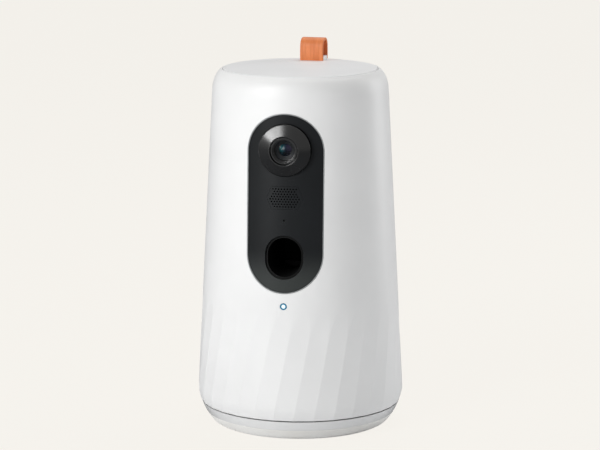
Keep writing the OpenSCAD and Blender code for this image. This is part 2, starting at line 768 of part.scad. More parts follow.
module speaker() {
  front = speaker_face;
  color("#2b2d30") translate([0, 0, grille_z]) rotate([90, 0, 0]) difference() {
    union() {
      translate([0, 0, front - 1.4]) cylinder(r = speaker_r, h = 1.4);
      translate([0, 0, front - 5]) cylinder(r1 = 8, r2 = 12, h = 3.7);
      translate([0, 0, front - 8.6]) cylinder(r = 7.4, h = 4);
    }
    translate([0, 0, front - 3.6]) cylinder(r1 = 7, r2 = 11.4, h = 4);
  }
}

module speaker_cone() {
  front = speaker_face;
  color("#55585c") translate([0, 0, grille_z]) rotate([90, 0, 0]) rotate_extrude() polygon([
    [0, front - 2.6], [3.4, front - 3.3], [8.4, front - 1.3], [9.8, front - 0.7], [9.7, front - 0.3],
    [8.2, front - 0.8], [3.6, front - 2.6], [0, front - 1.9]]);
}

module microphone() {
  color("#c3c6ca") front_bar(1.8, mic_z, mic_face - 0.1, mic_face + 1.2);
  color("#2e6b4a") translate([-5, -mic_face, mic_z - 3]) cube([10, 0.8, 4.4]);
}

module light_pipe() {
  face = skin_r(status_z);
  color("#dff2f6") difference() {
    union() {
      front_bar(status_r, status_z, face - wall - 3.5, face - 0.1);
      front_bar(status_r + 0.9, status_z, face - wall - 2.1, face - wall - 0.5);
    }
    front_bar(status_r - 0.9, status_z, face - 0.5, face + 1);
  }
}

module status_board() {
  face = skin_r(status_z);
  color("#2e6b4a") translate([-6, wall + 4.7 - face, status_z - 5]) cube([12, 1, 10]);
  color("#f2f2ee") translate([-1.6, wall + 3.8 - face, status_z - 1.6]) cube([3.2, 0.9, 3.2]);
}

// ---- chassis and drives ----

module deck() {
  color("#cfcdc8") difference() {
    union() {
      translate([0, 0, deck_z]) cylinder(r = deck_r, h = deck_t);
      translate([0, seat_y, deck_z]) around(4, cup_r + 0.6 + seat_pin_r, 45)
        cylinder(r = seat_pin_r, h = deck_t + 6);
      for (k = [0:5]) rotate(k * 60) translate([deck_r - 10, -0.9, deck_top]) cube([8, 1.8, 2]);
    }
    translate([-deck_r, -2 * deck_r, deck_z - 1]) cube([2 * deck_r, 2 * deck_r - 46, 12]);
    translate([-30, board_y - 4, deck_z - 1]) cube([60, deck_r, 12]);
    translate([0, seat_y - pocket_ring, deck_z - 1]) cylinder(r = drop_r, h = 12);
    translate([0, seat_y, deck_z - 1]) cylinder(r = drive_hole_r, h = 12);
    for (s = post_spots) translate([s[0], s[1], deck_z - 1]) cylinder(r = 2.5 + seat_gap, h = deck_t + 2);
  }
}

module chassis_posts() {
  color("#b5b7ba") for (s = post_spots) translate([s[0], s[1], 0]) {
    translate([0, 0, plate_top + 1]) cylinder(r = 3.5, h = deck_z - plate_top - 1);
    translate([0, 0, deck_z]) cylinder(r = 2.5, h = deck_t + 1);
  }
}

// Chamber that the paddle swings in, with a nose that runs out to the panel
module throw_housing() {
  front = pivot_y + 5;
  side = duct_w / 2 + duct_t;
  color("#2a2c2f") difference() {
    union() {
      intersection() {
        facing(front - 1, 2 * belt_r) slot_outline(nose_w / 2, outlet_z - nose_h / 2, outlet_z + nose_h / 2);
        skin_cup(panel_sink + 1.5);
      }
      translate([-side, -front - duct_t, well_z - duct_t])
        cube([2 * side, front + 2 * duct_t + duct_back, roof_top - well_z + duct_t]);
      translate([side - duct_t, -10, pinion_z - 12]) cube([duct_t, 10 + duct_back, 12]);
      for (p = [[pinion_z - 9.6, pinion_y - 1], [pinion_z + 11, pinion_y + 6.4]])
        cross_bar(2.2, side - 0.5, p[1], p[0], motor_x - side);
      translate([motor_x - 1.6, pinion_y - 7, pinion_z - 11.8]) cube([1.6, 15.6, 25]);
    }
    facing(front - 2, 2 * belt_r) slot_outline(duct_w / 2, duct_z0, duct_z1);
    translate([-duct_w / 2, -front, well_z]) cube([duct_w, front + duct_back, duct_z1 - well_z]);
    translate([0, seat_y - pocket_ring, duct_z1 - 1]) cylinder(r = drop_r, h = 4);
    cross_bar(shaft_r + run_gap, -side - 1, -pivot_y, pivot_z, 2 * side + 2);
    cross_bar(3, side + 1, pinion_y, pinion_z, motor_x);
  }
}

// Solid inside the skin, moved in by an inset, over the height of the panel
module skin_cup(inset) {
  rotate_extrude() polygon(concat([[0, panel_z0]], skin_line(panel_z0, panel_z1, 1, inset), [[0, panel_z1]]));
}

// Coil spring about the paddle's shaft, with a straight leg at each end
module throw_spring() {
  wire = 0.5;
  coil = shaft_r + 2;
  turns = 4;
  steps = 14;
  x0 = -duct_w / 2 - duct_t - 1.4;
  path = concat([[x0, -coil, 8]], [for (k = [0:turns * steps]) let(a = k * 360 / steps)
    [x0 - 1.15 * k / steps, -coil * cos(a), -coil * sin(a)]],
    [[x0 - 1.15 * turns, -coil, 8]]);
  sides = 6;
  count = len(path);
  points = [for (i = [0:count - 1]) let(
      ahead = path[min(count - 1, i + 1)] - path[max(0, i - 1)],
      t = ahead / norm(ahead), u = cross(t, [1, 0, 0]) / norm(cross(t, [1, 0, 0])), v = cross(t, u))
    each [for (k = [0:sides - 1]) path[i] + wire * (cos(k * 360 / sides) * u + sin(k * 360 / sides) * v)]];
  skin = [for (i = [0:count - 2], k = [0:sides - 1]) let(a = i * sides + k, b = i * sides + (k + 1) % sides)
    each [[a, b, a + sides], [b, b + sides, a + sides]]];
  color("#9a9da1") translate([0, -pivot_y, pivot_z]) polyhedron(points = points, faces = concat(
    [[for (k = [sides - 1:-1:0]) k]], [[for (k = [0:sides - 1]) (count - 1) * sides + k]], skin));
}

module throw_motor() {
  color("#a9acb0") difference() {
    union() {
      cross_bar(throw_motor_r, motor_x, pinion_y, pinion_z, throw_motor_l);
      cross_bar(3.4, motor_x + throw_motor_l, pinion_y, pinion_z, 1.6);
    }
    cross_bar(1.5 + run_gap, motor_x - 1, pinion_y, pinion_z, 7);
  }
}

module dispense_motor() {
  color("#a9acb0") difference() {
    union() {
      translate([0, seat_y, deck_z - dose_motor_h]) cylinder(r = dose_motor_r, h = dose_motor_h);
      translate([0, seat_y, deck_z - dose_motor_h - 1.6]) cylinder(r = 3.4, h = 2);
      translate([-motor_ear_x, seat_y - motor_ear_r, deck_z - 1.2])
        cube([2 * motor_ear_x, 2 * motor_ear_r, 1.2]);
      for (s = [-1, 1]) translate([s * motor_ear_x, seat_y, deck_z - 1.2]) cylinder(r = motor_ear_r, h = 1.2);
    }
    translate([0, seat_y, deck_z - 7]) cylinder(r = 2 + run_gap, h = 8);
    for (s = [-1, 1]) translate([s * motor_ear_x, seat_y, deck_z - 2]) cylinder(r = screw_r, h = 3);
  }
}

module pan_motor() {
  color("#a9acb0") difference() {
    union() {
      translate([0, pan_r, plate_top]) cylinder(r = pan_motor_r, h = 9);
      translate([0, pan_r, plate_top]) cylinder(r = pan_motor_r - 2, h = pan_motor_h);
      translate([0, pan_r, plate_top]) cylinder(r = 3.4, h = pan_motor_h + 1.6);
    }
    translate([0, pan_r, plate_top - 1]) cylinder(r = 2.5 + run_gap, h = 8);
  }
}

// Upright bracket that carries the main board at the back
module board_bracket() {
  color("#b5b7ba") {
    for (s = [-1, 1]) translate([s * 20 - 1, board_y + 1.3, plate_top]) cube([2, 4.6, deck_z - plate_top - 8]);
    translate([-21, board_y + 1.3, plate_top]) cube([42, 4.6, 1.6]);
    translate([-21, board_y + 1.3, plate_top + 40]) cube([42, 1.6, 6]);
  }
}

module main_board() {
  low = plate_top + 34;
  color("#2e6b4a") translate([-25, board_y, low]) cube([50, 1.2, deck_z - 9 - low]);
  color("#f2f2ee") for (k = [0:3]) translate([-21 + k * 11, board_y - 4, low + 2]) cube([8, 4, 5]);
  color("#26282b") translate([-18, board_y - 2.4, low + 46]) cube([9, 2.4, 9]);
}

module shield_can() {
  low = plate_top + 34;
  color("#a9acb0") translate([-4, board_y - 2.6, low + 22]) cube([22, 2.5, 20]);
}

module antenna() {
  top = status_z + 26;
  color("#c98a3a") rotate_extrude(angle = 26, start = 40) polygon(concat(
    skin_line(status_z, top, 1, wall + 0.2), reversed(skin_line(status_z, top, 1, wall + 0.7))));
}

// ---- moving pieces ----

module pan_pinion() {
  color("#e3dfd2") translate([0, pan_r, gear_z]) {
    rotate(270 + 180 / pan_teeth) gear(pan_teeth, 4.2, 0.01);
    cylinder(r = 3, h = plate_z - gear_z - 0.4);
    cylinder(r = 2.5, h = plate_top + 6 - gear_z);
  }
}

module drive_dog() {
  color("#e3dfd2") translate([0, seat_y, 0]) {
    translate([0, 0, deck_z - 6]) cylinder(r = 2, h = 6.4);
    translate([0, 0, deck_z + 0.3]) cylinder(r = 5.5, h = wheel_z - deck_z - 0.3);
    translate([0, 0, wheel_z]) cylinder(r = 4.4, h = wheel_h - 4, $fn = 6);
  }
}

module throw_pinion() {
  color("#e3dfd2") translate([gear_x, pinion_y, pinion_z]) rotate([0, 90, 0]) {
    rotate(270 + pinion_angle + 180 / pinion_teeth) gear(pinion_teeth, throw_gear_w, 0.01);
    cylinder(r = 1.5, h = motor_x - gear_x + 5.6);
  }
}

module throw_gear() {
  color("#e3dfd2") translate([gear_x, -pivot_y, pivot_z]) rotate([0, 90, 0])
    rotate(90 + pinion_angle) gear(throw_teeth, throw_gear_w, shaft_r + run_gap);
}

module throw_shaft() {
  left = duct_w / 2 + duct_t + 7.4;
  color("#b5b7ba") cross_bar(shaft_r, -left, -pivot_y, pivot_z, left + gear_x + throw_gear_w + 0.8);
}

// Throwing paddle: a sleeve on the shaft, a dished blade and a raised lip at its tip
module throw_paddle() {
  half = duct_w / 2 - 0.6;
  color("#2c2e31") difference() {
    translate([-half, -pivot_y, pivot_z]) rotate([90, 0, 90]) linear_extrude(2 * half) difference() {
      union() {
        circle(r = shaft_r + 2);
        polygon([[0, shaft_r + 2], [0, -shaft_r + 0.2], [paddle_l, -2.4], [paddle_l, 3.4],
          [paddle_l - paddle_t, 3.4], [paddle_l - paddle_t - 1.2, -0.2], [shaft_r + 5, 0.6]]);
      }
      circle(r = shaft_r + run_gap);
    }
    for (s = [-1, 1]) translate([s * (half - 4) - 1, 6 - pivot_y, pivot_z - 6]) cube([2, paddle_l - 10, 12]);
  }
}

// ---- treat bin ----

// Solid of the bin's inside above the wheel's cup, grown by an offset: a 45 degree funnel, then the bowl
module bin_solid(grow) {
  slope = grow * sqrt(2);
  intersection() {
    translate([0, seat_y, seat_top])
      cylinder(r1 = seat_r + slope, r2 = seat_r + slope + funnel_h, h = funnel_h);
    translate([0, bowl_y, seat_top]) cylinder(r = bowl_r + grow, h = funnel_h);
  }
  translate([0, bowl_y, seat_top + funnel_h - 0.1])
    cylinder(r = bowl_r + grow, h = flange_top - seat_top - funnel_h - 1);
}

// Bin from its flange down to the collar that grips the wheel's cup
module treat_hopper() {
  color("#ecebe6", 0.9) difference() {
    union() {
      bin_solid(bin_wall);
      translate([0, seat_y, seat_top - collar_h]) cylinder(r = cup_r + seat_gap + collar_t, h = collar_h);
      translate([0, 0, tray_z]) cylinder(r = tray_r, h = flange_top - tray_z);
      translate([0, 0, flange_z]) cylinder(r = lid_r, h = flange_top - flange_z);
    }
    bin_solid(0);
    translate([0, seat_y, seat_top - collar_h - 1]) cylinder(r = cup_r + seat_gap, h = collar_h + 1);
    translate([0, seat_y, seat_top - 1]) cylinder(r = seat_r, h = 3);
    translate([0, 0, tray_z + bin_wall]) cylinder(r = tray_r - bin_wall, h = tray_d + 4);
  }
}

// Cup that the wheel turns in, with the drop hole and the way for the drive in its floor
module wheel_cup() {
  color("#ecebe6", 0.9) difference() {
    translate([0, seat_y, bin_z]) cylinder(r = cup_r, h = seat_top - bin_z);
    translate([0, seat_y, bin_floor]) cylinder(r = seat_r, h = seat_top - bin_z);
    translate([0, seat_y - pocket_ring, bin_z - 1]) cylinder(r = drop_r, h = 4);
    translate([0, seat_y, bin_z - 1]) cylinder(r = drive_hole_r, h = 4);
  }
}

// Roof over the drop hole, so that treats fall only from a pocket
module treat_guard() {
  color("#d9d6cf") intersection() {
    translate([0, seat_y, guard_z]) cylinder(r1 = seat_r - seat_gap, r2 = seat_r - seat_gap - 1, h = 3);
    translate([-seat_r, seat_y - seat_r, guard_z]) cube([2 * seat_r, seat_r - 9, 2.4]);
  }
}

module dispensing_rotor() {
  color("#e8a45c") translate([0, seat_y, wheel_z]) difference() {
    union() {
      cylinder(r = seat_r - 0.5, h = wheel_h);
      cylinder(r = 6, h = wheel_h + 3);
    }
    around(pocket_count, pocket_ring, 90) translate([0, 0, -1]) cylinder(r = pocket_r, h = wheel_h + 2);
    translate([0, 0, -1]) cylinder(r = 4.8, h = wheel_h - 2, $fn = 6);
  }
}

// Soft stirrer on the wheel's hub, with three fins that pass over the guard
module agitator() {
  z = wheel_top + 3;
  color("#9fb7b0") translate([0, seat_y, z]) {
    cylinder(r1 = 7.4, r2 = 3.4, h = 9);
    for (k = [0:2]) rotate(90 + k * 120) translate([0, -1, 1.4]) rotate([90, 0, 90])
      linear_extrude(21) polygon([[0, 0], [2, 0], [1.6, 4.4], [0.4, 4.4]]);
  }
}

// ---- lid ----

function cap_z(r) = lid_edge_z + crown_h * (1 - pow(r / lid_r, 2));

module lid_cap() {
  color("#f4f4f2") difference() {
    rotate_extrude() polygon(concat([[0, cap_z(0) - cap_t]], [[lid_r * 0.6, cap_z(lid_r * 0.6) - cap_t]],
      [[lid_r - 2.4, lid_edge_z - cap_t - 0.2], [lid_r - 2.4, cap_under], [lid_r, cap_under],
      [lid_r, lid_edge_z - 1], [lid_r - 0.3, lid_edge_z - 0.3]],
      [for (k = [0:8]) let(r = (lid_r - 1) * (1 - k / 8)) [r, cap_z(r)]]));
    rotate(tab_turn) translate([-tab_w / 2 - seat_gap, tab_y - tab_d / 2 + tab_t, cap_z(tab_y) - 1.6])
      cube([tab_w + 2 * seat_gap, tab_d - 2 * tab_t, 8]);
  }
}

module lid_liner() {
  top = lid_edge_z - cap_t - 0.4;
  low = flange_top - plug_d;
  color("#e4e3de") difference() {
    union() {
      translate([0, 0, low]) cylinder(r = liner_r, h = top - low);
      translate([0, 0, low]) cylinder(r = liner_r + 1.2, h = 0.8);
      translate([0, 0, low + 2.9]) cylinder(r = liner_r + 1.2, h = 0.8);
    }
    translate([0, 0, low + 1.6]) cylinder(r = liner_r - 1.6, h = plug_d + 8);
    around(3, lid_screw_ring, 30) translate([0, 0, low - 1]) cylinder(r = screw_r + 0.2, h = 4);
  }
  color("#e4e3de") around(3, lid_screw_ring, 30) translate([0, 0, low + 1.6])
    ring(3.2, screw_r + run_gap, cap_z(lid_screw_ring) - cap_t - low - 1.9);
}

module lid_seal() {
  low = flange_top - plug_d + 0.9;
  color("#c9ced0") translate([0, 0, low]) ring(tray_r - bin_wall - 0.3, liner_r + run_gap, 1.9);
}

module lid_screws() {
  low = flange_top - plug_d;
  color("#8f9296") around(3, lid_screw_ring, 30) translate([0, 0, low - head_h])
    screw(cap_z(lid_screw_ring) - cap_t - low + 0.8);
}

// Outline of the strap seen from its side: two plies joined by a round fold
module tab_loop(d, h) {
  bend = d / 2 - 1;
  translate([-d / 2, 0]) square([d, h - bend]);
  translate([-d / 2 + bend, h - bend]) circle(r = bend);
  translate([d / 2 - bend, h - bend]) circle(r = bend);
  translate([-d / 2 + bend, h - bend]) square([d - 2 * bend, bend]);
}

module pull_tab() {
  z = cap_z(tab_y - tab_d / 2) + 0.15;
  h = lid_edge_z + tab_h - z;
  color("#e8883f") rotate(tab_turn) translate([-tab_w / 2, tab_y, z]) rotate([90, 0, 90])
    linear_extrude(tab_w) difference() {
      tab_loop(tab_d, h);
      translate([0, -1]) tab_loop(tab_d - 2 * tab_t, h - tab_t + 1);
    }
}

module tab_anchor() {
  low = cap_z(tab_y) - 1.5;
  color("#f4f4f2") rotate(tab_turn) translate([-tab_w / 2, tab_y - tab_d / 2 + tab_t + seat_gap, low])
    cube([tab_w, tab_d - 2 * tab_t - 2 * seat_gap, lid_edge_z + 3.6 - low]);
}

foot_ring();
base_shell();
base_plate();
base_screws();
turntable_post();
sun_gear();
bearing_race();
retaining_ring();
base_board();
power_inlet();
reset_button();
bearing_balls();
bearing_cage();
body_shell();
body_floor();
pivot_bush();
shell_screws();
front_panel();
panel_trim();
panel_frame();
speaker_grille();
lens_bezel();
lens_barrel();
lens_glass();
camera_module();
camera_board();
ir_leds();
speaker();
speaker_cone();
microphone();
light_pipe();
status_board();
deck();
chassis_posts();
throw_housing();
throw_spring();
throw_motor();
dispense_motor();
pan_motor();
board_bracket();
main_board();
shield_can();
antenna();
pan_pinion();
drive_dog();
throw_pinion();
throw_paddle();
throw_shaft();
throw_gear();
treat_hopper();
wheel_cup();
treat_guard();
dispensing_rotor();
agitator();
lid_cap();
lid_liner();
lid_seal();
lid_screws();
pull_tab();
tab_anchor();
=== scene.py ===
# Treat tossing pet camera: the looks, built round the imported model
import math

import bmesh
import bpy
import numpy as np
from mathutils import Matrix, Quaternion, Vector


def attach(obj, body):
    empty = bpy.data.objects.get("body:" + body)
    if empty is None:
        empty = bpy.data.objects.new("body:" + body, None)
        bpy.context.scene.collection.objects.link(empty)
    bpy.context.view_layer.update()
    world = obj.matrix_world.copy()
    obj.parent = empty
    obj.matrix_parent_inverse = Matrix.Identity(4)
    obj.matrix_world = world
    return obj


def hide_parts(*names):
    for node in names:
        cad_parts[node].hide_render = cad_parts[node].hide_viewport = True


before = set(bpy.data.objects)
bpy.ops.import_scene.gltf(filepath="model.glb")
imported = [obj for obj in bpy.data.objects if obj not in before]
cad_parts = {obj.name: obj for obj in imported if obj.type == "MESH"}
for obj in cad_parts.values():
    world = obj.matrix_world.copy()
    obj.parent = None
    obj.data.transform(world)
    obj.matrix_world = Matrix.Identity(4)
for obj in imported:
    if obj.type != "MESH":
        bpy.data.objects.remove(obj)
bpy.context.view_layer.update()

mm = 0.001  # the numbers below are millimetres, meshes are metres
far = 999  # beyond either end of the body

making = {
    "weld": 1e-6, "sliver": 1e-7,  # metres: points this near are one, faces this thin go
    "onSkin": 0.004, "skinTop": 236, "slopeStep": 0.05,  # what counts as a point of the skin, and how its slope is read
    "arcShare": 0.46, "guard": 1.25, "guardShare": 0.49,  # how much of a side an arc and its guard points may take
}


def gridFaces(rows, cols, loopRows=False):
    # Four-sided faces between neighbouring rows and columns; the columns close on themselves, the rows when looped
    i, k = np.meshgrid(np.arange(rows if loopRows else rows - 1), np.arange(cols), indexing="ij")
    nextI, nextK = (i + 1) % rows, (k + 1) % cols
    corners = [i * cols + k, i * cols + nextK, nextI * cols + nextK, nextI * cols + k]
    return np.stack(corners, -1).reshape(-1, 4)


def gridPart(points, loopRows=False):
    # A (rows, cols, 3) array of points becomes a mesh part
    rows, cols = points.shape[:2]
    return points.reshape(-1, 3), gridFaces(rows, cols, loopRows)


def capPart(ring):
    # A fan from the middle of a ring of points closes it
    n = len(ring)
    k = np.arange(n)
    return np.vstack([ring, ring.mean(0)]), np.stack([k, (k + 1) % n, np.full(n, n)], -1)


def makePiece(name, parts, slotName, body, stands=(), sharp=32, material=None, skinDepth=None, skinFrom=0):
    # All parts go into one mesh, near points are welded and edges sharper than an angle stay hard
    points = np.vstack([p for p, _ in parts]) * mm
    offsets = np.cumsum([0] + [len(p) for p, _ in parts[:-1]])
    loops = np.concatenate([(f + o).ravel() for (_, f), o in zip(parts, offsets)])
    sizes = np.concatenate([np.full(len(f), f.shape[1]) for _, f in parts])
    starts = np.concatenate([[0], np.cumsum(sizes)[:-1]])
    mesh = bpy.data.meshes.new(name)
    mesh.vertices.add(len(points))
    mesh.vertices.foreach_set("co", points.ravel())
    mesh.loops.add(len(loops))
    mesh.loops.foreach_set("vertex_index", loops.astype(np.int32))
    mesh.polygons.add(len(sizes))
    mesh.polygons.foreach_set("loop_start", starts.astype(np.int32))
    mesh.polygons.foreach_set("loop_total", sizes.astype(np.int32))
    mesh.update(calc_edges=True)
    work = bmesh.new()
    work.from_mesh(mesh)
    bmesh.ops.remove_doubles(work, verts=work.verts, dist=making["weld"])
    bmesh.ops.dissolve_degenerate(work, edges=work.edges, dist=making["sliver"])
    bmesh.ops.recalc_face_normals(work, faces=work.faces)
    work.to_mesh(mesh)
    work.free()
    mesh.polygons.foreach_set("use_smooth", np.ones(len(mesh.polygons), bool))
    mesh.set_sharp_from_angle(angle=math.radians(sharp))
    if skinDepth is not None:
        skinNormals(mesh, skinDepth, skinFrom)
    piece = bpy.data.objects.new(name, mesh)
    bpy.context.scene.collection.objects.link(piece)
    mesh.materials.append(material or finishes[slotName])
    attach(piece, body)
    if stands:
        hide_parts(*stands)


def skinNormals(mesh, depth, lowest):
    # Points that lie on the turned skin, moved in by a depth, take the skin's own normal:
    # outward, tipped by the slope of its radius
    m = making
    points = np.empty(len(mesh.vertices) * 3)
    mesh.vertices.foreach_get("co", points)
    x, y, z = points.reshape(-1, 3).T / mm
    r = np.hypot(x, y)
    slope = (skinR(z + m["slopeStep"]) - skinR(z - m["slopeStep"])) / (2 * m["slopeStep"])
    normals = np.column_stack([x / np.maximum(r, 1), y / np.maximum(r, 1), -slope])
    normals /= np.linalg.norm(normals, axis=1, keepdims=True)
    normals[(abs(r - skinR(z) + depth) > m["onSkin"]) | (z < lowest) | (z > m["skinTop"])] = 0
    mesh.normals_split_custom_set_from_vertices(normals)


def roundedLine(corners, closed=True, steps=5):
    # Corners are (x, y, radius); each becomes an arc that touches both of its sides, with a guard point on each side
    m = making
    count = len(corners)
    out = []
    for k, (x, y, r) in enumerate(corners):
        here = np.array([x, y], float)
        if r <= 0 or (not closed and k in (0, count - 1)):
            out.append(here)
            continue
        a = np.array(corners[k - 1][:2], float) - here
        b = np.array(corners[(k + 1) % count][:2], float) - here
        la, lb = np.linalg.norm(a), np.linalg.norm(b)
        a, b = a / la, b / lb
        half = math.acos(np.clip(a @ b, -1, 1)) / 2
        cut = min(r / math.tan(half), m["arcShare"] * la, m["arcShare"] * lb)
        r = cut * math.tan(half)
        centre = here + (a + b) / np.linalg.norm(a + b) * r / math.sin(half)
        start, end = here + a * cut - centre, here + b * cut - centre
        turn = math.atan2(start[0] * end[1] - start[1] * end[0], start @ end)
        out.append(here + a * min(cut * m["guard"], la * m["guardShare"]))
        for s in np.linspace(0, turn, steps + 1):
            c, d = math.cos(s), math.sin(s)
            out.append(centre + [start[0] * c - start[1] * d, start[0] * d + start[1] * c])
        out.append(here + b * min(cut * m["guard"], lb * m["guardShare"]))
    return np.array(out)


def roundedEdge(e, *depths):
    # A quarter round of radius e as (distance from the edge, depth) pairs, then straight down to the given depths
    quarter = ((1, 0), (0.62, 0.08), (0.29, 0.29), (0.08, 0.62), (0, 1))
    return [(grow * e, depth * e) for grow, depth in quarter] + [(0, depth) for depth in depths]


def turned(profile, steps, loop=True):
    # A profile of (radius, height) turned about Z
    a = np.linspace(0, 2 * np.pi, steps, endpoint=False)
    p = np.asarray(profile, float)
    points = np.stack([p[:, :1] * np.sin(a), -p[:, :1] * np.cos(a), p[:, 1:2] + 0 * a], -1)
    return gridPart(points, loopRows=loop)


def turnedFront(profile, z, steps, loop=True):
    # A profile of (radius, distance in front of the body's axis) turned about a line along -Y at height z
    points, faces = turned(profile, steps, loop)
    return np.stack([points[:, 0], -points[:, 2], points[:, 1] + z], -1), faces


def turnMatrix(a):
    # Turns rows of points about Z by an angle
    return np.array([[math.cos(a), math.sin(a), 0], [-math.sin(a), math.cos(a), 0], [0, 0, 1]])


def bar(x0, x1, y0, y1, z0, z1, r):
    # Block with its upright corners and its long edges rounded: a rounded rectangle with three rings at each end
    flat = roundedLine([(x0, y0, r), (x1, y0, r), (x1, y1, r), (x0, y1, r)], steps=4)
    mid = np.array([(x0 + x1) / 2, (y0 + y1) / 2])
    size = np.array([x1 - x0, y1 - y0]) / 2
    knee = 0.3 * r  # where the rounding is halfway round
    levels = [(z0, r), (z0 + knee, knee), (z0 + r, 0), (z1 - r, 0), (z1 - knee, knee), (z1, r)]
    rings = []
    for z, inset in levels:
        ring = mid + (flat - mid) * (size - inset) / size
        rings.append(np.column_stack([ring, np.full(len(ring), z)]))
    return [gridPart(np.array(rings)), capPart(rings[0]), capPart(rings[-1])]


def linear(hexColour):
    # sRGB hex to linear red, green, blue
    c = np.array([int(hexColour[k:k + 2], 16) for k in (1, 3, 5)]) / 255
    return tuple(np.where(c <= 0.04045, c / 12.92, ((c + 0.055) / 1.055) ** 2.4)) + (1.0,)


def addNode(tree, kind, inputs=None, **settings):
    # Adds a shader node, sets its settings, and sets or links its inputs
    made = tree.nodes.new("ShaderNode" + kind)
    for key, value in settings.items():
        setattr(made, key, value)
    for key, value in (inputs or {}).items():
        if isinstance(value, bpy.types.NodeSocket):
            tree.links.new(value, made.inputs[key])
        else:
            made.inputs[key].default_value = value
    return made


def newMaterial(name, colour, rough, **sockets):
    # Principled surface with its constant sockets set; returns the material, its tree, shader and object coordinates
    made = bpy.data.materials.new(name)
    made.use_nodes = True
    tree = made.node_tree
    shader = tree.nodes["Principled BSDF"]
    shader.inputs["Base Color"].default_value = linear(colour)
    shader.inputs["Roughness"].default_value = rough
    for key, value in sockets.items():
        shader.inputs[key.replace("_", " ")].default_value = value
    made.diffuse_color = linear(colour)
    where = addNode(tree, "TexCoord").outputs["Object"]
    return made, tree, shader, where


def scaleFor(sizeMm):
    # Texture scale whose features repeat about every sizeMm on object coordinates in metres
    return 1000 / sizeMm


def addTone(tree, shader, where, colour, other, sizeMm, detail=3, low=0.35, high=0.65):
    # Two tones of the same stuff drift into each other over sizeMm
    noise = addNode(tree, "TexNoise", {"Vector": where, "Scale": scaleFor(sizeMm), "Detail": detail})
    ramp = addNode(tree, "ValToRGB", {"Fac": noise.outputs["Fac"]})
    ends = ramp.color_ramp.elements
    ends[0].position, ends[1].position = low, high
    ends[0].color, ends[1].color = linear(colour), linear(other)
    tree.links.new(ramp.outputs["Color"], shader.inputs["Base Color"])


def addRough(tree, shader, where, low, high, sizeMm):
    # Roughness wanders between two values over sizeMm, as polish and handling leave it
    noise = addNode(tree, "TexNoise", {"Vector": where, "Scale": scaleFor(sizeMm), "Detail": 4})
    spread = addNode(tree, "MapRange", {"Value": noise.outputs["Fac"], "From Min": 0.3, "From Max": 0.7,
                                        "To Min": low, "To Max": high})
    tree.links.new(spread.outputs["Result"], shader.inputs["Roughness"])


def addGrain(tree, shader, where, sizeMm, depthMm, kind="TexNoise"):
    # Fine relief from a texture of that grain size and depth
    if kind == "TexNoise":
        grain = addNode(tree, kind, {"Vector": where, "Scale": scaleFor(sizeMm), "Detail": 3}).outputs["Fac"]
    else:
        grain = addNode(tree, kind, {"Vector": where, "Scale": scaleFor(sizeMm)}).outputs["Distance"]
    bump = addNode(tree, "Bump", {"Height": grain, "Distance": depthMm * mm, "Strength": 1.0})
    tree.links.new(bump.outputs["Normal"], shader.inputs["Normal"])


def addFade(made, colour, fromZ, toZ):
    # The base colour passes into another one between two heights
    tree = made.node_tree
    shader = tree.nodes["Principled BSDF"]
    link = shader.inputs["Base Color"].links[0]
    where = addNode(tree, "TexCoord").outputs["Object"]
    height = addNode(tree, "SeparateXYZ", {"Vector": where}).outputs["Z"]
    share = addNode(tree, "MapRange", {"Value": height, "From Min": fromZ * mm, "From Max": toZ * mm},
                    interpolation_type="SMOOTHSTEP").outputs["Result"]
    mix = addNode(tree, "MixRGB", {"Fac": share, "Color1": link.from_socket, "Color2": linear(colour)})
    tree.links.new(mix.outputs["Color"], shader.inputs["Base Color"])


def mouldedPlastic(name, colour, tone, rough, grainMm, depthMm, **sockets):
    # Moulded plastic: nearly even colour, roughness from the mould's texture, faint flow marks
    made, tree, shader, where = newMaterial(name, colour, rough, **sockets)
    addTone(tree, shader, where, colour, tone, 45)
    addRough(tree, shader, where, rough - 0.03, rough + 0.04, 12)
    addGrain(tree, shader, where, grainMm, depthMm)
    return made


def metalFinish(name, colour, tone, rough, lineMm=0.3, stretch=(1, 1, 12), depthMm=0.003):
    # Drawn or rolled metal: fine lines along one direction, uneven polish
    made, tree, shader, where = newMaterial(name, colour, rough, Metallic=1.0)
    lines = addNode(tree, "Mapping", {"Vector": where, "Scale": tuple(1 / s for s in stretch)}).outputs["Vector"]
    addTone(tree, shader, lines, colour, tone, lineMm * 6)
    addRough(tree, shader, where, rough - 0.06, rough + 0.08, 8)
    addGrain(tree, shader, lines, lineMm, depthMm)
    return made


panelSheen = {"Specular_IOR_Level": 0.16}  # the face hardly mirrors the lamps

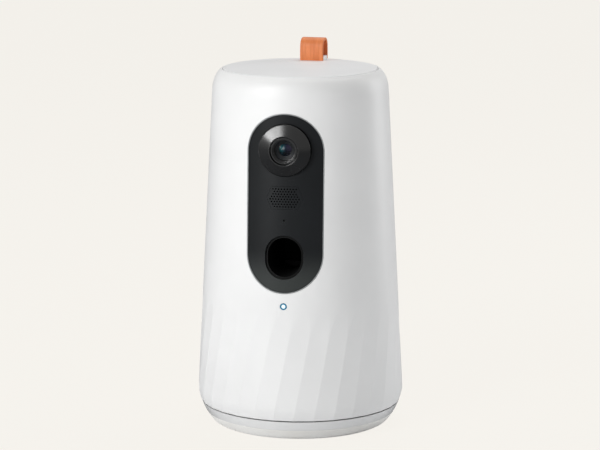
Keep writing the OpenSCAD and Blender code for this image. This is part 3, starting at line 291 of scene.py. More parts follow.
# Slot: material, its two tones, roughness, grain and depth of grain in mm, other sockets
plastics = {
    # Satin moulded ABS: clean white, with a soft, wide sheen
    "shell_white": ("satinWhiteAbs", "#F3F3F2", "#EFEFEE", 0.42, 0.6, 0.0025, {}),
    # Matt moulded ABS: a shade duller than the body
    "lid_white": ("mattWhiteAbs", "#EDEDED", "#E9E9E9", 0.5, 0.5, 0.004, {}),
    # Polished ABS: the ring under the body mirrors its surroundings
    "base_white": ("polishedWhiteAbs", "#F0F0EF", "#ECECEB", 0.16, 2.0, 0.001,
                   {"Coat_Weight": 0.5, "Coat_Roughness": 0.06}),
    # Spark-textured ABS: dull grey with a fine grain
    "cover_grey": ("sparkedGreyAbs", "#C4C1BA", "#BAB7B0", 0.55, 0.4, 0.012, {}),
    # Moulded acetal: milky and slightly waxy
    "acetal": ("mouldedAcetal", "#E4E0D4", "#DCD8CA", 0.34, 0.8, 0.003, {"Subsurface_Weight": 0.05}),
    # Glass-filled nylon: flat grey with a dry, speckled skin
    "chassis_grey": ("glassFilledNylon", "#BDBFC0", "#AEB0B2", 0.5, 0.25, 0.02, {}),
    # Spark-textured black ABS: a dull near black that mirrors little
    "frame_black": ("sparkedBlackAbs", "#0D0E0E", "#0B0C0C", 0.6, 0.3, 0.012, {"Specular_IOR_Level": 0.2}),
    # Satin black polycarbonate: near black and even, but the face's own material gets a painted reflection at its lower
    # end
    "panel_black": ("satinBlackPolycarbonate", "#1D1F20", "#202224", 0.4, 3.0, 0.0006, panelSheen),
    "grille_black": ("satinBlackGrille", "#1D1F20", "#202224", 0.4, 3.0, 0.0006, panelSheen),
    # Polished black polycarbonate: deep black with one bright glint
    "bezel_black": ("polishedBlackPolycarbonate", "#060707", "#070808", 0.24, 2.5, 0.0004, {"IOR": 1.85}),
    # Satin silver paint on plastic: a pale line without a metal's bite
    "trim_silver": ("satinSilverPaint", "#A4A7A7", "#9DA0A1", 0.38, 0.3, 0.002, {"Metallic": 0.25}),
    # Spark-textured ABS button: a cool, dull grey
    "button_grey": ("sparkedGreyButton", "#B3B6BA", "#A9ACB0", 0.45, 0.3, 0.01, {}),
    # Frosted acrylic: pale, with softened highlights
    "pipe_clear": ("frostedAcrylic", "#DDEFF5", "#D4E9F1", 0.3, 0.3, 0.004, {}),
    # Moulded nylon, dyed dark: dull charcoal
    "paddle_dark": ("darkMouldedNylon", "#26282A", "#202224", 0.5, 0.4, 0.01, {}),
    # Food-grade polypropylene: a warm white that glows a little at thin walls
    "bin_white": ("foodGradePolypropylene", "#E9E8E3", "#E2E1DB", 0.32, 1.0, 0.004, {"Subsurface_Weight": 0.08}),
    "wheel_orange": ("orangePolypropylene", "#E2924A", "#DB8A42", 0.35, 0.8, 0.004, {"Subsurface_Weight": 0.05}),
    # Soft silicone: grey-green and powdery
    "fin_silicone": ("softGreySilicone", "#93ABA5", "#8AA29C", 0.6, 0.4, 0.01, {"Subsurface_Weight": 0.05}),
    # Moulded polypropylene: plain, slightly greasy white
    "liner_grey": ("mouldedPolypropylene", "#DEDDD8", "#D6D5CF", 0.4, 0.6, 0.006, {}),
    # Translucent silicone: cloudy, with light inside its edges
    "seal_silicone": ("translucentSilicone", "#C3C9CB", "#BAC1C3", 0.5, 0.5, 0.006, {"Subsurface_Weight": 0.1}),
}

# Slot: metal, its two tones, roughness, and if it isn't plain drawn stock line width, stretch and depth
metals = {
    "steel": ("zincPlatedSteel", "#B9BBBD", "#A6A9AD", 0.32),  # cool grey, faintly lined
    "ball_steel": ("polishedBearingSteel", "#D5D7DA", "#CBCED2", 0.12, 0.6, (1, 1, 1), 0.001),  # bright, mirror-like
    "port_steel": ("tinPlatedSteel", "#C2C4C6", "#AFB2B5", 0.28, 0.25, (1, 8, 1)),  # soft bright grey
    "motor_steel": ("drawnSteelCan", "#B4B6B8", "#9EA1A5", 0.3, 0.35, (1, 1, 14)),  # long drawing lines
    "spring_steel": ("springWire", "#8F9296", "#7B7F84", 0.34, 0.2, (6, 1, 1)),  # darker, oiled wire
    "bronze": ("sinteredBronze", "#B98A4A", "#A37637", 0.42, 0.3, (1, 1, 1), 0.008),  # brown gold, porous
    "foil_copper": ("platedCopperFoil", "#C98A3A", "#B87A30", 0.3, 0.3, (1, 1, 1)),  # warm, even foil
}

panelPaintedReflection = {"colour": "#3A3D3C", "fromZ": 130, "toZ": 106}  # painted reflection on the face's lower end: a lighter colour stands for the floor it would mirror

finishes = {}


def makeFinishes():
    # Plastics and metals come from the tables, the rest is made one by one
    for slotName, (*looks, sockets) in plastics.items():
        finishes[slotName] = mouldedPlastic(*looks, **sockets)
    for slotName, looks in metals.items():
        finishes[slotName] = metalFinish(*looks)
    # Painted reflection: the face panel's colour turns lighter towards its lower end
    addFade(finishes["panel_black"], **panelPaintedReflection)
    # Moulded silicone rubber: dull, pale warm grey, with a dusty sheen and fine sparked grain
    made, tree, shader, where = newMaterial("mouldedSilicone", "#F0EFEB", 0.72, Sheen_Weight=0.25, Sheen_Roughness=0.6)
    addTone(tree, shader, where, "#F1F0EC", "#ECEAE5", 30)
    addRough(tree, shader, where, 0.66, 0.8, 6)
    addGrain(tree, shader, where, 0.35, 0.01)
    finishes["foot_taupe"] = made
    # Pressed paper pulp: soft, fibrous and dull
    made, tree, shader, where = newMaterial("pressedPaperPulp", "#3C3E41", 0.85)
    addTone(tree, shader, where, "#3C3E41", "#2F3134", 1.2)
    addGrain(tree, shader, where, 0.5, 0.04)
    finishes["cone_paper"] = made
    # Solder mask over glass cloth: dark green, thin gloss, a hint of the weave
    made, tree, shader, where = newMaterial("greenSolderMask", "#1F5B3C", 0.28, Coat_Weight=0.4, Coat_Roughness=0.15)
    addTone(tree, shader, where, "#1F5B3C", "#2B6E49", 3.0, 2, 0.45, 0.55)
    addGrain(tree, shader, where, 0.4, 0.01, "TexVoronoi")
    finishes["board_green"] = made
    # Smoked plastic lens over each infrared light: dark, with a violet cast
    made, tree, shader, where = newMaterial("smokedLedLens", "#241C2C", 0.08, IOR=1.5)
    addTone(tree, shader, where, "#241C2C", "#2B2233", 1.5)
    finishes["led_clear"] = made
    # Slot of the front glass in the pack; no visible piece wears it, as both glasses bring their own
    finishes["lens_glass"] = newMaterial("coatedLensGlass", "#07090D", 0.03, IOR=1.6, Coat_Weight=1.0,
                                         Coat_Roughness=0.02)[0]
    # Dyed calf leather: fine pebbled grain, colour streaked a little along the strap, semi-matt topcoat
    made, tree, shader, where = newMaterial("dyedCalfLeather", "#E5864C", 0.55, Sheen_Weight=0.05, Sheen_Roughness=0.4)
    streaks = addNode(tree, "Mapping", {"Vector": where, "Scale": (1, 0.12, 0.12)}).outputs["Vector"]
    addTone(tree, shader, streaks, "#E98A50", "#DA7A42", 2.2, 3, 0.4, 0.62)
    addRough(tree, shader, where, 0.46, 0.6, 3)
    pebble = addNode(tree, "TexVoronoi", {"Vector": where, "Scale": scaleFor(0.9), "Randomness": 0.9},
                     feature="SMOOTH_F1")
    fold = addNode(tree, "TexNoise", {"Vector": where, "Scale": scaleFor(2.2), "Detail": 4})
    mix = addNode(tree, "Math", {0: pebble.outputs["Distance"], 1: fold.outputs["Fac"]}, operation="ADD")
    bump = addNode(tree, "Bump", {"Height": mix.outputs["Value"], "Distance": 0.09 * mm, "Strength": 0.8})
    tree.links.new(bump.outputs["Normal"], shader.inputs["Normal"])
    finishes["leather_orange"] = made


def makeGlass():
    # Thin front glass with a dark anti-reflection coating: lets most light through, one small glint
    made, tree, shader, where = newMaterial("coatedOpticalGlass", "#0B1016", 0.04, IOR=1.5, Alpha=0.14)
    addTone(tree, shader, where, "#0B1016", "#10131C", 3.0)
    return made


def makeSpacer():
    # Blackened spacer: a dull, grainy black that holds the light back
    made, tree, shader, where = newMaterial("blackenedSpacer", "#2B2D2F", 0.5)
    addTone(tree, shader, where, "#2B2D2F", "#323436", 2.0)
    addGrain(tree, shader, where, 0.3, 0.01)
    return made


# Painted reflection of the inner element's coating: colours across its width, and painted shade towards its bottom
paintedCoatingReflection = {"half": 3.6, "lowZ": 191.6, "highZ": 195.0, "left": "#3E9AA0", "right": "#3A3350", "paintedShadeBelow": "#0B0F14",
           "bands": ((0.3, "#17606F"), (0.52, "#0F2440"), (0.72, "#2C2548"))}


def makePaintedCoatingReflection():
    # Painted reflection of a multi-layer coating on the inner element: teal to the upper left, then deep blue, then
    # violet, with painted shade making it dark below
    c = paintedCoatingReflection
    made, tree, shader, where = newMaterial("innerElementPaintedReflection", "#122B3A", 0.12, Coat_Weight=0.3)
    place = addNode(tree, "SeparateXYZ", {"Vector": where})
    across = addNode(tree, "MapRange", {"Value": place.outputs["X"], "From Min": -c["half"] * mm,
                                        "From Max": c["half"] * mm}).outputs["Result"]
    ramp = addNode(tree, "ValToRGB", {"Fac": across})
    bands = ramp.color_ramp.elements
    bands[0].color, bands[1].color = linear(c["left"]), linear(c["right"])
    for spot, colour in c["bands"]:
        bands.new(spot).color = linear(colour)
    # Painted shade: the colour darkens towards the element's bottom
    up = addNode(tree, "MapRange", {"Value": place.outputs["Z"], "From Min": c["lowZ"] * mm,
                                    "From Max": c["highZ"] * mm, "To Min": 0.1, "To Max": 1.0}).outputs["Result"]
    mix = addNode(tree, "MixRGB", {"Fac": up, "Color1": linear(c["paintedShadeBelow"]), "Color2": ramp.outputs["Color"]})
    tree.links.new(mix.outputs["Color"], shader.inputs["Base Color"])
    return made


def makeAcrylic(name, colour, tone, glow):
    # Moulded acrylic lit from behind: even colour with a faint glow
    made, tree, shader, where = newMaterial(name, colour, 0.22, Emission_Strength=glow)
    shader.inputs["Emission Color"].default_value = linear(colour)
    addTone(tree, shader, where, colour, tone, 1.5)
    addGrain(tree, shader, where, 0.4, 0.003)
    return made


clearGlass = makeGlass()
spacerBlack = makeSpacer()
innerPaintedReflection = makePaintedCoatingReflection()
blueAcrylic = makeAcrylic("blueLitAcrylic", "#247C9E", "#207394", 0.1)
paleAcrylic = makeAcrylic("paleLitAcrylic", "#E9F7FB", "#DDF1F8", 0.35)
makeFinishes()
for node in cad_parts.values():
    for holder in node.material_slots:
        packed = holder.material.name.split(".")[0] if holder.material else ""
        if packed in finishes:
            holder.material = finishes[packed]
print("finishes made:", len(finishes))


outline = {"beltR": 69.4, "beltZ": 22.6, "taper": 0.0518, "shoulderZ": 226.1, "shoulderH": 13.9, "shoulderIn": 7.6,
           "footIn": 12.8, "footPower": 1.37}


def skinR(z):
    # Belt radius less the taper, less a quarter ellipse at the shoulder, less a rounded tuck at the foot
    o = outline
    z = np.asarray(z, float)
    up = np.clip((z - o["shoulderZ"]) / o["shoulderH"], 0, 1)
    down = np.clip((o["beltZ"] - z) / o["beltZ"], 0, 1)
    power = o["footPower"]
    return (o["beltR"] - o["taper"] * (z - o["beltZ"]) - o["shoulderIn"] * (1 - np.sqrt(1 - up ** 2))
            - o["footIn"] * (1 - (1 - down ** power) ** (1 / power)))


def onSkin(x, z, depth):
    # Point of the front skin at that width and height, moved in by a depth
    x, z, depth = np.broadcast_arrays(np.asarray(x, float), np.asarray(z, float), np.asarray(depth, float))
    return np.stack([x, -np.sqrt(np.maximum((skinR(z) - depth) ** 2 - x ** 2, 0)), z], -1)


def slotEdge(points, zLow, zHigh, reach):
    # Each (x, z) point is carried to the edge of a round-ended slot, along the line from the slot's upright spine
    spine = np.stack([np.zeros(len(points)), np.clip(points[:, 1], zLow, zHigh)], -1)
    way = points - spine
    return spine + reach * way / np.linalg.norm(way, axis=1, keepdims=True)


shell = {
    "skirtZ": 14.4, "top": 239.5, "wall": 2.5, "edge": 0.3,
    "flutes": 32, "fluteH": 73.6, "fade": 24.0, "twist": 0.165, "arris": 0.93, "leastFlat": 0.22,
    "boreR": 51.985, "ledgeR": 49.485, "ledgeZ": 230.6, "ledgeTop": 233.0,
    "windowHalf": 25.4, "windowLow": 99.4, "windowHigh": 217.2, "windowCut": (95.2, 221, 29.5),
    "lightZ": 91.1, "lightR": 2.3, "lightCut": (88.0, 94.4, 4.8),  # cuts: lowest and highest row, half angle
    "plainZ": 150,  # a height where the columns' angles no longer change
    "bosses": 4, "bossR": 3.6, "boreHoleR": 1.45, "bossLow": 21.3, "bossHigh": 36.3, "bossAt": 21.1, "bossIn": 5.2,
}


def fluteColumns(h):
    # Angles round the body at height h: a flat's own columns, bunched at its two edges, then three on the round strip
    share = 2 * np.pi / shell["flutes"]
    fade = np.clip((shell["fluteH"] - h) / shell["fade"], 0, 1)
    depth = fade * (2 - fade)
    chord = 1 - depth * (1 - math.cos(share / 2))
    edge = np.clip(np.arccos(chord), shell["leastFlat"] * share / 2, shell["arris"] * share / 2)
    flat = np.array([-1, -0.94, -0.45, 0.45, 0.94, 1.0]) * edge[..., None]
    gap = share / 2 - edge
    strip = edge[..., None] + gap[..., None] * np.array([0.5, 1.0, 1.5])
    local = np.concatenate([flat, strip], -1)
    k = np.arange(shell["flutes"])[:, None] * share
    turn = math.radians(shell["twist"]) * np.minimum(h, shell["fluteH"])
    angles = (k + local[:, None, :] + turn[:, None, None]).reshape(len(h), -1)
    shrink = np.minimum(1, chord[:, None] / np.cos(np.minimum(np.abs(local), share - np.abs(local))))
    return angles, np.tile(shrink, (1, shell["flutes"]))


def shellBosses():
    # Screw bosses on the inside of the wall, each a turned tube with a rib that joins it to the wall
    s = shell
    low, high = s["bossLow"], s["bossHigh"]
    tube = roundedLine([(s["boreHoleR"], low, 0.2), (s["bossR"], low, 0.2), (s["bossR"], high, 0.4),
                        (s["boreHoleR"], high, 0.2)], steps=3)
    r = float(skinR(s["bossAt"])) - s["wall"] - s["bossIn"]
    parts = []
    for k in range(s["bosses"]):
        a = math.radians(45 + 90 * k)
        place = [r * math.cos(a), r * math.sin(a), 0]
        boss, bossFaces = turned(tube, 40)
        parts.append((boss + place, bossFaces))
        for rib, ribFaces in bar(2.8, 5.6, -1, 1, low, high, 0.3):
            parts.append((rib @ turnMatrix(a) + place, ribFaces))
    return parts


def buildShell():
    # The skin's profile is turned, its outer side drawn in to flats by the flute columns, and two holes are cut
    s = shell
    e = s["edge"]
    bend = np.linspace(0, np.pi / 2, 5)
    # Rows stand closer where the flutes fade, round the light's hole and on the shoulder
    outerZ = np.concatenate([[s["skirtZ"] + 0.9], np.arange(16.6, 60, 2.4), np.arange(61, 88.2, 1.0), [88.9],
                             np.linspace(89.5, 93.5, 7), [94.4, 95.2], np.linspace(97, 221, 63),
                             np.linspace(222.5, 238.4, 22), [s["top"] - e]])
    innerZ = np.concatenate([[226], outerZ[(outerZ < 222) & (outerZ > 87.5)][::-1],
                             [80, 60, 40, 24, s["skirtZ"] + 0.3]])
    skirt = np.stack([skinR(s["skirtZ"] + e) - e * (1 - np.sin(bend)), s["skirtZ"] + e * (1 - np.cos(bend))], -1)
    rim = np.stack([skinR(s["top"] - e) - e * (1 - np.cos(bend[1:])) - 0.1 * np.sin(bend[1:]),
                    s["top"] - e + e * np.sin(bend[1:])], -1)
    inside = roundedLine([(s["boreR"], s["top"] - 0.1, 0), (s["boreR"], s["ledgeTop"], 0.3),
                          (s["ledgeR"], s["ledgeTop"], 0.3), (s["ledgeR"], s["ledgeZ"], 0.3),
                          (float(skinR(s["ledgeZ"])) - s["wall"], s["ledgeZ"], 0)], closed=False, steps=3)
    outerR = skinR(outerZ)
    innerR = skinR(np.maximum(innerZ, outline["beltZ"])) - s["wall"]
    line = np.vstack([skirt[:-1], np.stack([outerR, outerZ], -1), rim, [[s["boreR"] + 0.1, s["top"]]], inside,
                      np.stack([innerR, innerZ], -1), [[float(skinR(s["skirtZ"])) - s["wall"], s["skirtZ"]]]])
    angles, shrink = fluteColumns(np.clip(line[:, 1] - s["skirtZ"], 0, None))
    first = len(skirt) - 1
    firstIn = len(line) - 1 - len(innerZ)
    fluted = np.zeros(len(line), bool)
    fluted[:first + len(outerZ)] = True
    radius = line[:, :1] * np.where(fluted[:, None], shrink, 1)
    heights = np.repeat(line[:, 1:], angles.shape[1], 1)
    points = np.stack([radius * np.sin(angles), -radius * np.cos(angles), heights], -1)
    rows, cols = points.shape[:2]
    faces = gridFaces(rows, cols, loopRows=True).reshape(rows, cols, 4)
    keep = np.ones((rows, cols), bool)

    def window(cut, spineLow, spineHigh, reach):
        # Cuts a block of cells out of both skins and fills it with rings that run to a round-ended hole
        zBottom, zTop, halfAngle = cut
        plain = angles[first + np.argmin(abs(outerZ - s["plainZ"]))]
        degrees = (np.degrees(plain) + 180) % 360 - 180
        near = np.where(np.abs(degrees) < halfAngle)[0]
        order = near[np.argsort(degrees[near])]
        low = first + np.argmin(abs(outerZ - zBottom))
        high = first + np.argmin(abs(outerZ - zTop))
        lowIn = firstIn + np.argmin(abs(innerZ - outerZ[high - first]))
        highIn = firstIn + np.argmin(abs(innerZ - outerZ[low - first]))
        keep[low:high, order[:-1]] = False
        keep[lowIn:highIn, order[:-1]] = False
        edges = []
        for a, b in ((low, high), (highIn, lowIn)):
            step = 1 if b > a else -1
            up = np.arange(a, b + step, step)
            edges.append(np.vstack([points[a, order], points[up[1:], order[-1]], points[b, order[::-1]][1:],
                                    points[up[::-1][1:-1], order[0]]]))
        outer, inner = edges
        flatOut, flatIn = outer[:, [0, 2]], inner[:, [0, 2]]
        target = slotEdge(flatOut, spineLow, spineHigh, reach + e)
        rings = [outer]
        rings += [onSkin(*(flatOut + (target - flatOut) * t).T, 0) for t in (0.3, 0.6, 0.82, 0.94)]
        for grow, depth in roundedEdge(e, 1.3 * e, s["wall"] - 0.1, s["wall"]):
            rings.append(onSkin(*slotEdge(flatOut, spineLow, spineHigh, reach + grow).T, depth))
        edge = slotEdge(flatOut, spineLow, spineHigh, reach)
        rings += [onSkin(*(edge + (flatIn - edge) * 0.5).T, s["wall"]), inner]
        return gridPart(np.array(rings))

    half = s["windowHalf"]
    parts = [window(s["windowCut"], s["windowLow"] + half, s["windowHigh"] - half, half),
             window(s["lightCut"], s["lightZ"], s["lightZ"], s["lightR"])]
    parts.append((points.reshape(-1, 3), faces[keep]))
    parts += shellBosses()
    makePiece("bodyShell", parts, "shell_white", "upper_body", ["body_shell"], sharp=40, skinDepth=0, skinFrom=88.5)


buildShell()
print("body shell built")


foot = {"height": 7.2, "innerR": 46.9}


def buildFoot():
    # The skin's lowest part turned, with a rounded underside and a straight bore
    b = foot
    top, inner = b["height"], b["innerR"]
    z = np.linspace(0.9, top - 0.5, 12)
    under = roundedLine([(inner, top, 0.2), (inner, 0, 0.8), (float(skinR(0)) - 0.3, 0, 0.7),
                         (float(skinR(0.9)), 0.9, 0)], closed=False)[1:]
    lip = [[float(skinR(top - 0.15)) - 0.15, top - 0.12], [float(skinR(top)) - 0.5, top], [inner, top]]
    profile = np.vstack([under, np.stack([skinR(z[1:]), z[1:]], -1), lip])
    makePiece("softFoot", [turned(profile, 256)], "foot_taupe", "base", ["foot_ring"])


buildFoot()
print("soft foot built")


panel = {"half": 24.6, "spineLow": 124.8, "spineHigh": 191.8, "splits": (141.0, 151.0, 173.0), "sink": 0.5,
         "thick": 2.2, "edge": 0.3, "lensZ": 193.4, "lensR": 17.25, "grilleZ": 162.4, "grilleW": 11.9, "grilleH": 7.5,
         "micZ": 147.6, "micR": 0.6, "outletHalf": 12.6, "outletLow": 121.4, "outletHigh": 125.0}


def hexagonEdge(points, z, halfW, halfH):
    # Each point is carried along its line to the centre onto a flat hexagon; the six corners are kept exactly
    centre = [0, z]
    corners = np.array([[1, 0], [0.72, 1], [-0.72, 1], [-1, 0], [-0.72, -1], [0.72, -1]]) * [halfW, halfH]
    side = np.roll(corners, -1, 0) - corners
    normal = np.stack([side[:, 1], -side[:, 0]], -1)
    way = points - centre
    way = way / np.linalg.norm(way, axis=1, keepdims=True)
    toward = way @ normal.T
    reach = np.where(toward > 1e-9, (corners * normal).sum(1) / np.maximum(toward, 1e-9), np.inf).min(1)
    out = way * reach[:, None]
    for corner in corners:
        out[np.argmax(way @ (corner / np.linalg.norm(corner)))] = corner
    return out + centre


def panelLoop(zA, zB, half, low, high, splits, count=57):
    # Outline of the part of a round-ended slot between two heights, as a ring of (x, z) points
    side = np.unique(np.concatenate([np.linspace(low, high, count), splits]))
    side = side[(side >= zA - 1e-6) & (side <= zB + 1e-6)]
    across = np.linspace(-half, half, 33)[1:-1]
    bend = np.linspace(0, np.pi, 57)[1:-1]
    right = np.column_stack([np.full(len(side), half), side])
    left = np.column_stack([np.full(len(side), -half), side[::-1]])
    top = np.column_stack([across[::-1], np.full(len(across), zB)])
    under = np.column_stack([across, np.full(len(across), zA)])
    if zB > high:
        top = np.column_stack([half * np.cos(bend), high + half * np.sin(bend)])
    if zA < low:
        under = np.column_stack([-half * np.cos(bend), low - half * np.sin(bend)])
    return np.vstack([right, top, left, under])


def buildPanel():
    # Four plates on one spine, each with its own hole, run from the outline to the hole's rounded edge and back
    p = panel
    e = p["edge"]
    low, high = p["spineLow"], p["spineHigh"]
    back = p["sink"] + p["thick"]
    edgeSteps = roundedEdge(e, 1.4 * e, p["thick"] - 0.05)
    under, middle, over = p["splits"]
    plates = [
        (over, far, lambda q, g: slotEdge(q, p["lensZ"], p["lensZ"], p["lensR"] + g / 4)),
        (middle, over, lambda q, g: hexagonEdge(q, p["grilleZ"], p["grilleW"] + g / 6, p["grilleH"] + g / 6)),
        (under, middle, lambda q, g: slotEdge(q, p["micZ"], p["micZ"], p["micR"] + g)),
        (-far, under, lambda q, g: slotEdge(q, p["outletLow"], p["outletHigh"], p["outletHalf"] + g)),
    ]
    parts = []
    for zA, zB, hole in plates:
        rim = panelLoop(zA, zB, p["half"] - e, low, high, p["splits"])
        edge = hole(rim, e)
        rings = [onSkin(*(rim + (edge - rim) * t).T, p["sink"]) for t in (0, 0.2, 0.4, 0.6, 0.78, 0.9, 0.97)]
        rings += [onSkin(*hole(rim, grow).T, p["sink"] + depth) for grow, depth in edgeSteps]
        edge = hole(rim, 0)
        rings += [onSkin(*(edge + (rim - edge) * t).T, back) for t in (0, 0.5, 1)]
        parts.append(gridPart(np.array(rings)))
    loop = panelLoop(-far, far, p["half"], low, high, p["splits"])
    rings = [onSkin(*slotEdge(loop, low, high, p["half"] - grow).T, p["sink"] + depth) for grow, depth in edgeSteps]
    rings += [onSkin(*slotEdge(loop, low, high, p["half"] - e).T, back)]
    parts.append(gridPart(np.array(rings)))
    makePiece("facePanel", parts, "panel_black", "upper_body", ["front_panel"], sharp=40, skinDepth=p["sink"])


trim = {"outer": 25.3, "inner": 24.72, "depth": 0.06, "back": 2.45, "round": 0.26}


def buildTrim():
    # A rounded bar carried round the panel's outline, its top just under the white skin
    t, p = trim, panel
    low, high = p["spineLow"], p["spineHigh"]
    section = roundedLine([(t["inner"], t["back"], 0.1), (t["inner"], t["depth"], t["round"]),
                           (t["outer"], t["depth"], t["round"]), (t["outer"], t["back"], 0.1)])
    loop = panelLoop(-far, far, p["half"], low, high, (), 81)
    rings = [onSkin(*slotEdge(loop, low, high, reach).T, depth) for reach, depth in section]
    makePiece("panelTrim", [gridPart(np.array(rings), loopRows=True)], "trim_silver", "upper_body", ["panel_trim"],
              sharp=50)


buildPanel()
buildTrim()
print("face panel and trim built")


lens = {"z": 193.4, "front": 60.55, "bezelR": 17.1, "mouthR": 9.2, "tip": 64.75, "rim": 61.55, "back": 53.55,
        "barrelR": 8.9, "glassR": 6.5, "pupilR": 4.2, "frontBall": 17.0, "innerBall": 9}


def buildLens():
    # Five turned profiles on one axis: bezel, barrel, domed front glass, spacer cone and domed inner element
    c = lens
    z, tip, rim, back = c["z"], c["tip"], c["rim"], c["back"]
    mouth, outer, glass, pupil = c["mouthR"], c["bezelR"], c["glassR"], c["pupilR"]
    bezel = roundedLine([(mouth, tip, 0.25), (mouth + 0.75, tip, 0.35), (outer - 0.45, rim + 0.15, 0.5),
                         (outer, rim - 0.5, 0.3), (outer, back, 0.3), (outer - 1.8, back, 0.2),
                         (outer - 1.8, rim - 2, 0.4), (mouth + 1.6, tip - 3, 0.4), (mouth + 1.6, back, 0.2),
                         (mouth, back, 0.2)])
    makePiece("lensBezel", [turnedFront(bezel, z, 192)], "bezel_black", "upper_body", ["lens_bezel"])
    r, front, deep = c["barrelR"], tip - 1.2, c["front"] - 9.5
    barrel = roundedLine([(r - 1.15, front, 0.12), (r, front, 0.3), (r, deep, 0.2), (glass + 0.1, deep, 0.2),
                          (glass + 0.1, front - 2.6, 0.1), (glass + 0.35, front - 2.6, 0.1),
                          (glass + 0.35, front - 1.75, 0.12), (glass + 0.75, front - 1.75, 0.1),
                          (glass + 0.75, front - 0.9, 0.12), (r - 1.15, front - 0.9, 0.08)], steps=3)
    makePiece("lensBarrel", [turnedFront(barrel, z, 160)], "bezel_black", "upper_body", ["lens_barrel"])
    seat, ball = tip - 4.4, c["frontBall"]
    a = np.linspace(0, math.asin(glass / ball), 20)
    dome = np.column_stack([ball * np.sin(a), seat + 1.6 - ball + ball * np.cos(a)])
    flatBack = np.column_stack([np.linspace(glass - 0.5, 0, 8), np.full(8, seat - 0.5)])
    dome = np.vstack([dome, [[glass, seat - 0.3], [glass - 0.2, seat - 0.5]], flatBack])
    makePiece("frontElement", [turnedFront(dome, z, 96, loop=False)], "lens_glass", "upper_body", ["lens_glass"],
              material=clearGlass)
    cone = roundedLine([(glass - 0.05, seat - 0.62, 0), (pupil + 0.9, seat - 1.3, 0.15),
                        (pupil + 0.85, seat - 1.7, 0.1), (pupil, seat - 2.1, 0.1), (pupil, seat - 3.4, 0.1),
                        (glass - 0.05, seat - 3.4, 0)], steps=3)
    makePiece("lensSpacer", [turnedFront(cone, z, 96)], "bezel_black", "upper_body", material=spacerBlack)
    ball, rimR = c["innerBall"], pupil - 0.05
    a = np.linspace(0, math.asin(rimR / ball), 14)
    inner = np.column_stack([ball * np.sin(a), seat - 2.3 - ball + ball * np.cos(a)])
    inner = np.vstack([inner, [[rimR, seat - 3.6], [0, seat - 3.6]]])
    makePiece("innerElement", [turnedFront(inner, z, 96, loop=False)], "lens_glass", "upper_body",
              material=innerPaintedReflection)


buildLens()
print("lens built")


light = {"z": 91.1, "face": 65.85, "r": 2.2, "ring": 0.86, "flange": 0.9, "length": 6}


def buildLight():
    # A turned tube with a flange behind, and a core with a slightly domed face in it
    q = light
    f, r, core = q["face"], q["r"], q["r"] - q["ring"]
    flange, tail = r + q["flange"], f - q["length"]
    ring = roundedLine([(core, tail, 0.1), (core, f - 0.12, 0.12), (r, f - 0.12, 0.15), (r, f - 3, 0),
                        (flange, f - 3, 0.1), (flange, f - 4.6, 0.1), (r, f - 4.6, 0), (r, tail, 0.1)], steps=3)
    makePiece("lightRing", [turnedFront(ring, q["z"], 64)], "pipe_clear", "upper_body", ["light_pipe"],
              material=blueAcrylic)
    a = np.linspace(0, 1, 7)
    plug = core - 0.03
    face = np.column_stack([plug * a, f - 0.22 - 0.12 * a ** 2])
    profile = np.vstack([face, [[plug, f - 5.9], [0, f - 5.9]]])
    makePiece("lightCore", [turnedFront(profile, q["z"], 64, loop=False)], "pipe_clear", "upper_body",
              material=paleAcrylic)


buildLight()
print("status light built")


lid = {"r": 51.585, "edgeZ": 240.0, "crown": 1.6, "thick": 2.4, "under": 235.4, "round": 0.9}
tab = {"y": 37.0, "width": 16.0, "depth": 14.0, "thick": 1.7, "top": 256.0, "turn": -4.5, "edge": 0.45,
       "belly": 0.25, "anchorTop": 3.6}


def crownZ(r):
    # Height of the lid's crown: edge height plus a shallow parabola
    return lid["edgeZ"] + lid["crown"] * (1 - (np.asarray(r, float) / lid["r"]) ** 2)


def turnAll(parts, degrees):
    # Turns mesh parts about Z
    return [(p @ turnMatrix(math.radians(degrees)), f) for p, f in parts]


def buildLid():
    # The crown's parabola turned, with a rounded edge, a short skirt and a hollow underside
    c = lid
    r, top = c["r"], c["edgeZ"]
    flat = np.linspace(0, r - 2.2, 22)
    crown = np.column_stack([flat, crownZ(flat)])
    edge = roundedLine([(r - 2.2, float(crownZ(r - 2.2)), 0), (r - 0.02, top + 0.06, c["round"]),
                        (r, c["under"], 0.2), (r - 2.4, c["under"], 0.2), (r - 2.4, top - c["thick"] - 0.2, 0.5),
                        (r * 0.6, float(crownZ(r * 0.6)) - c["thick"], 0.5), (0, top + c["crown"] - c["thick"], 0)],
                       closed=False)
    makePiece("lidCap", [turned(np.vstack([crown, edge[1:]]), 256, loop=False)], "lid_white", "lid", ["lid_cap"])


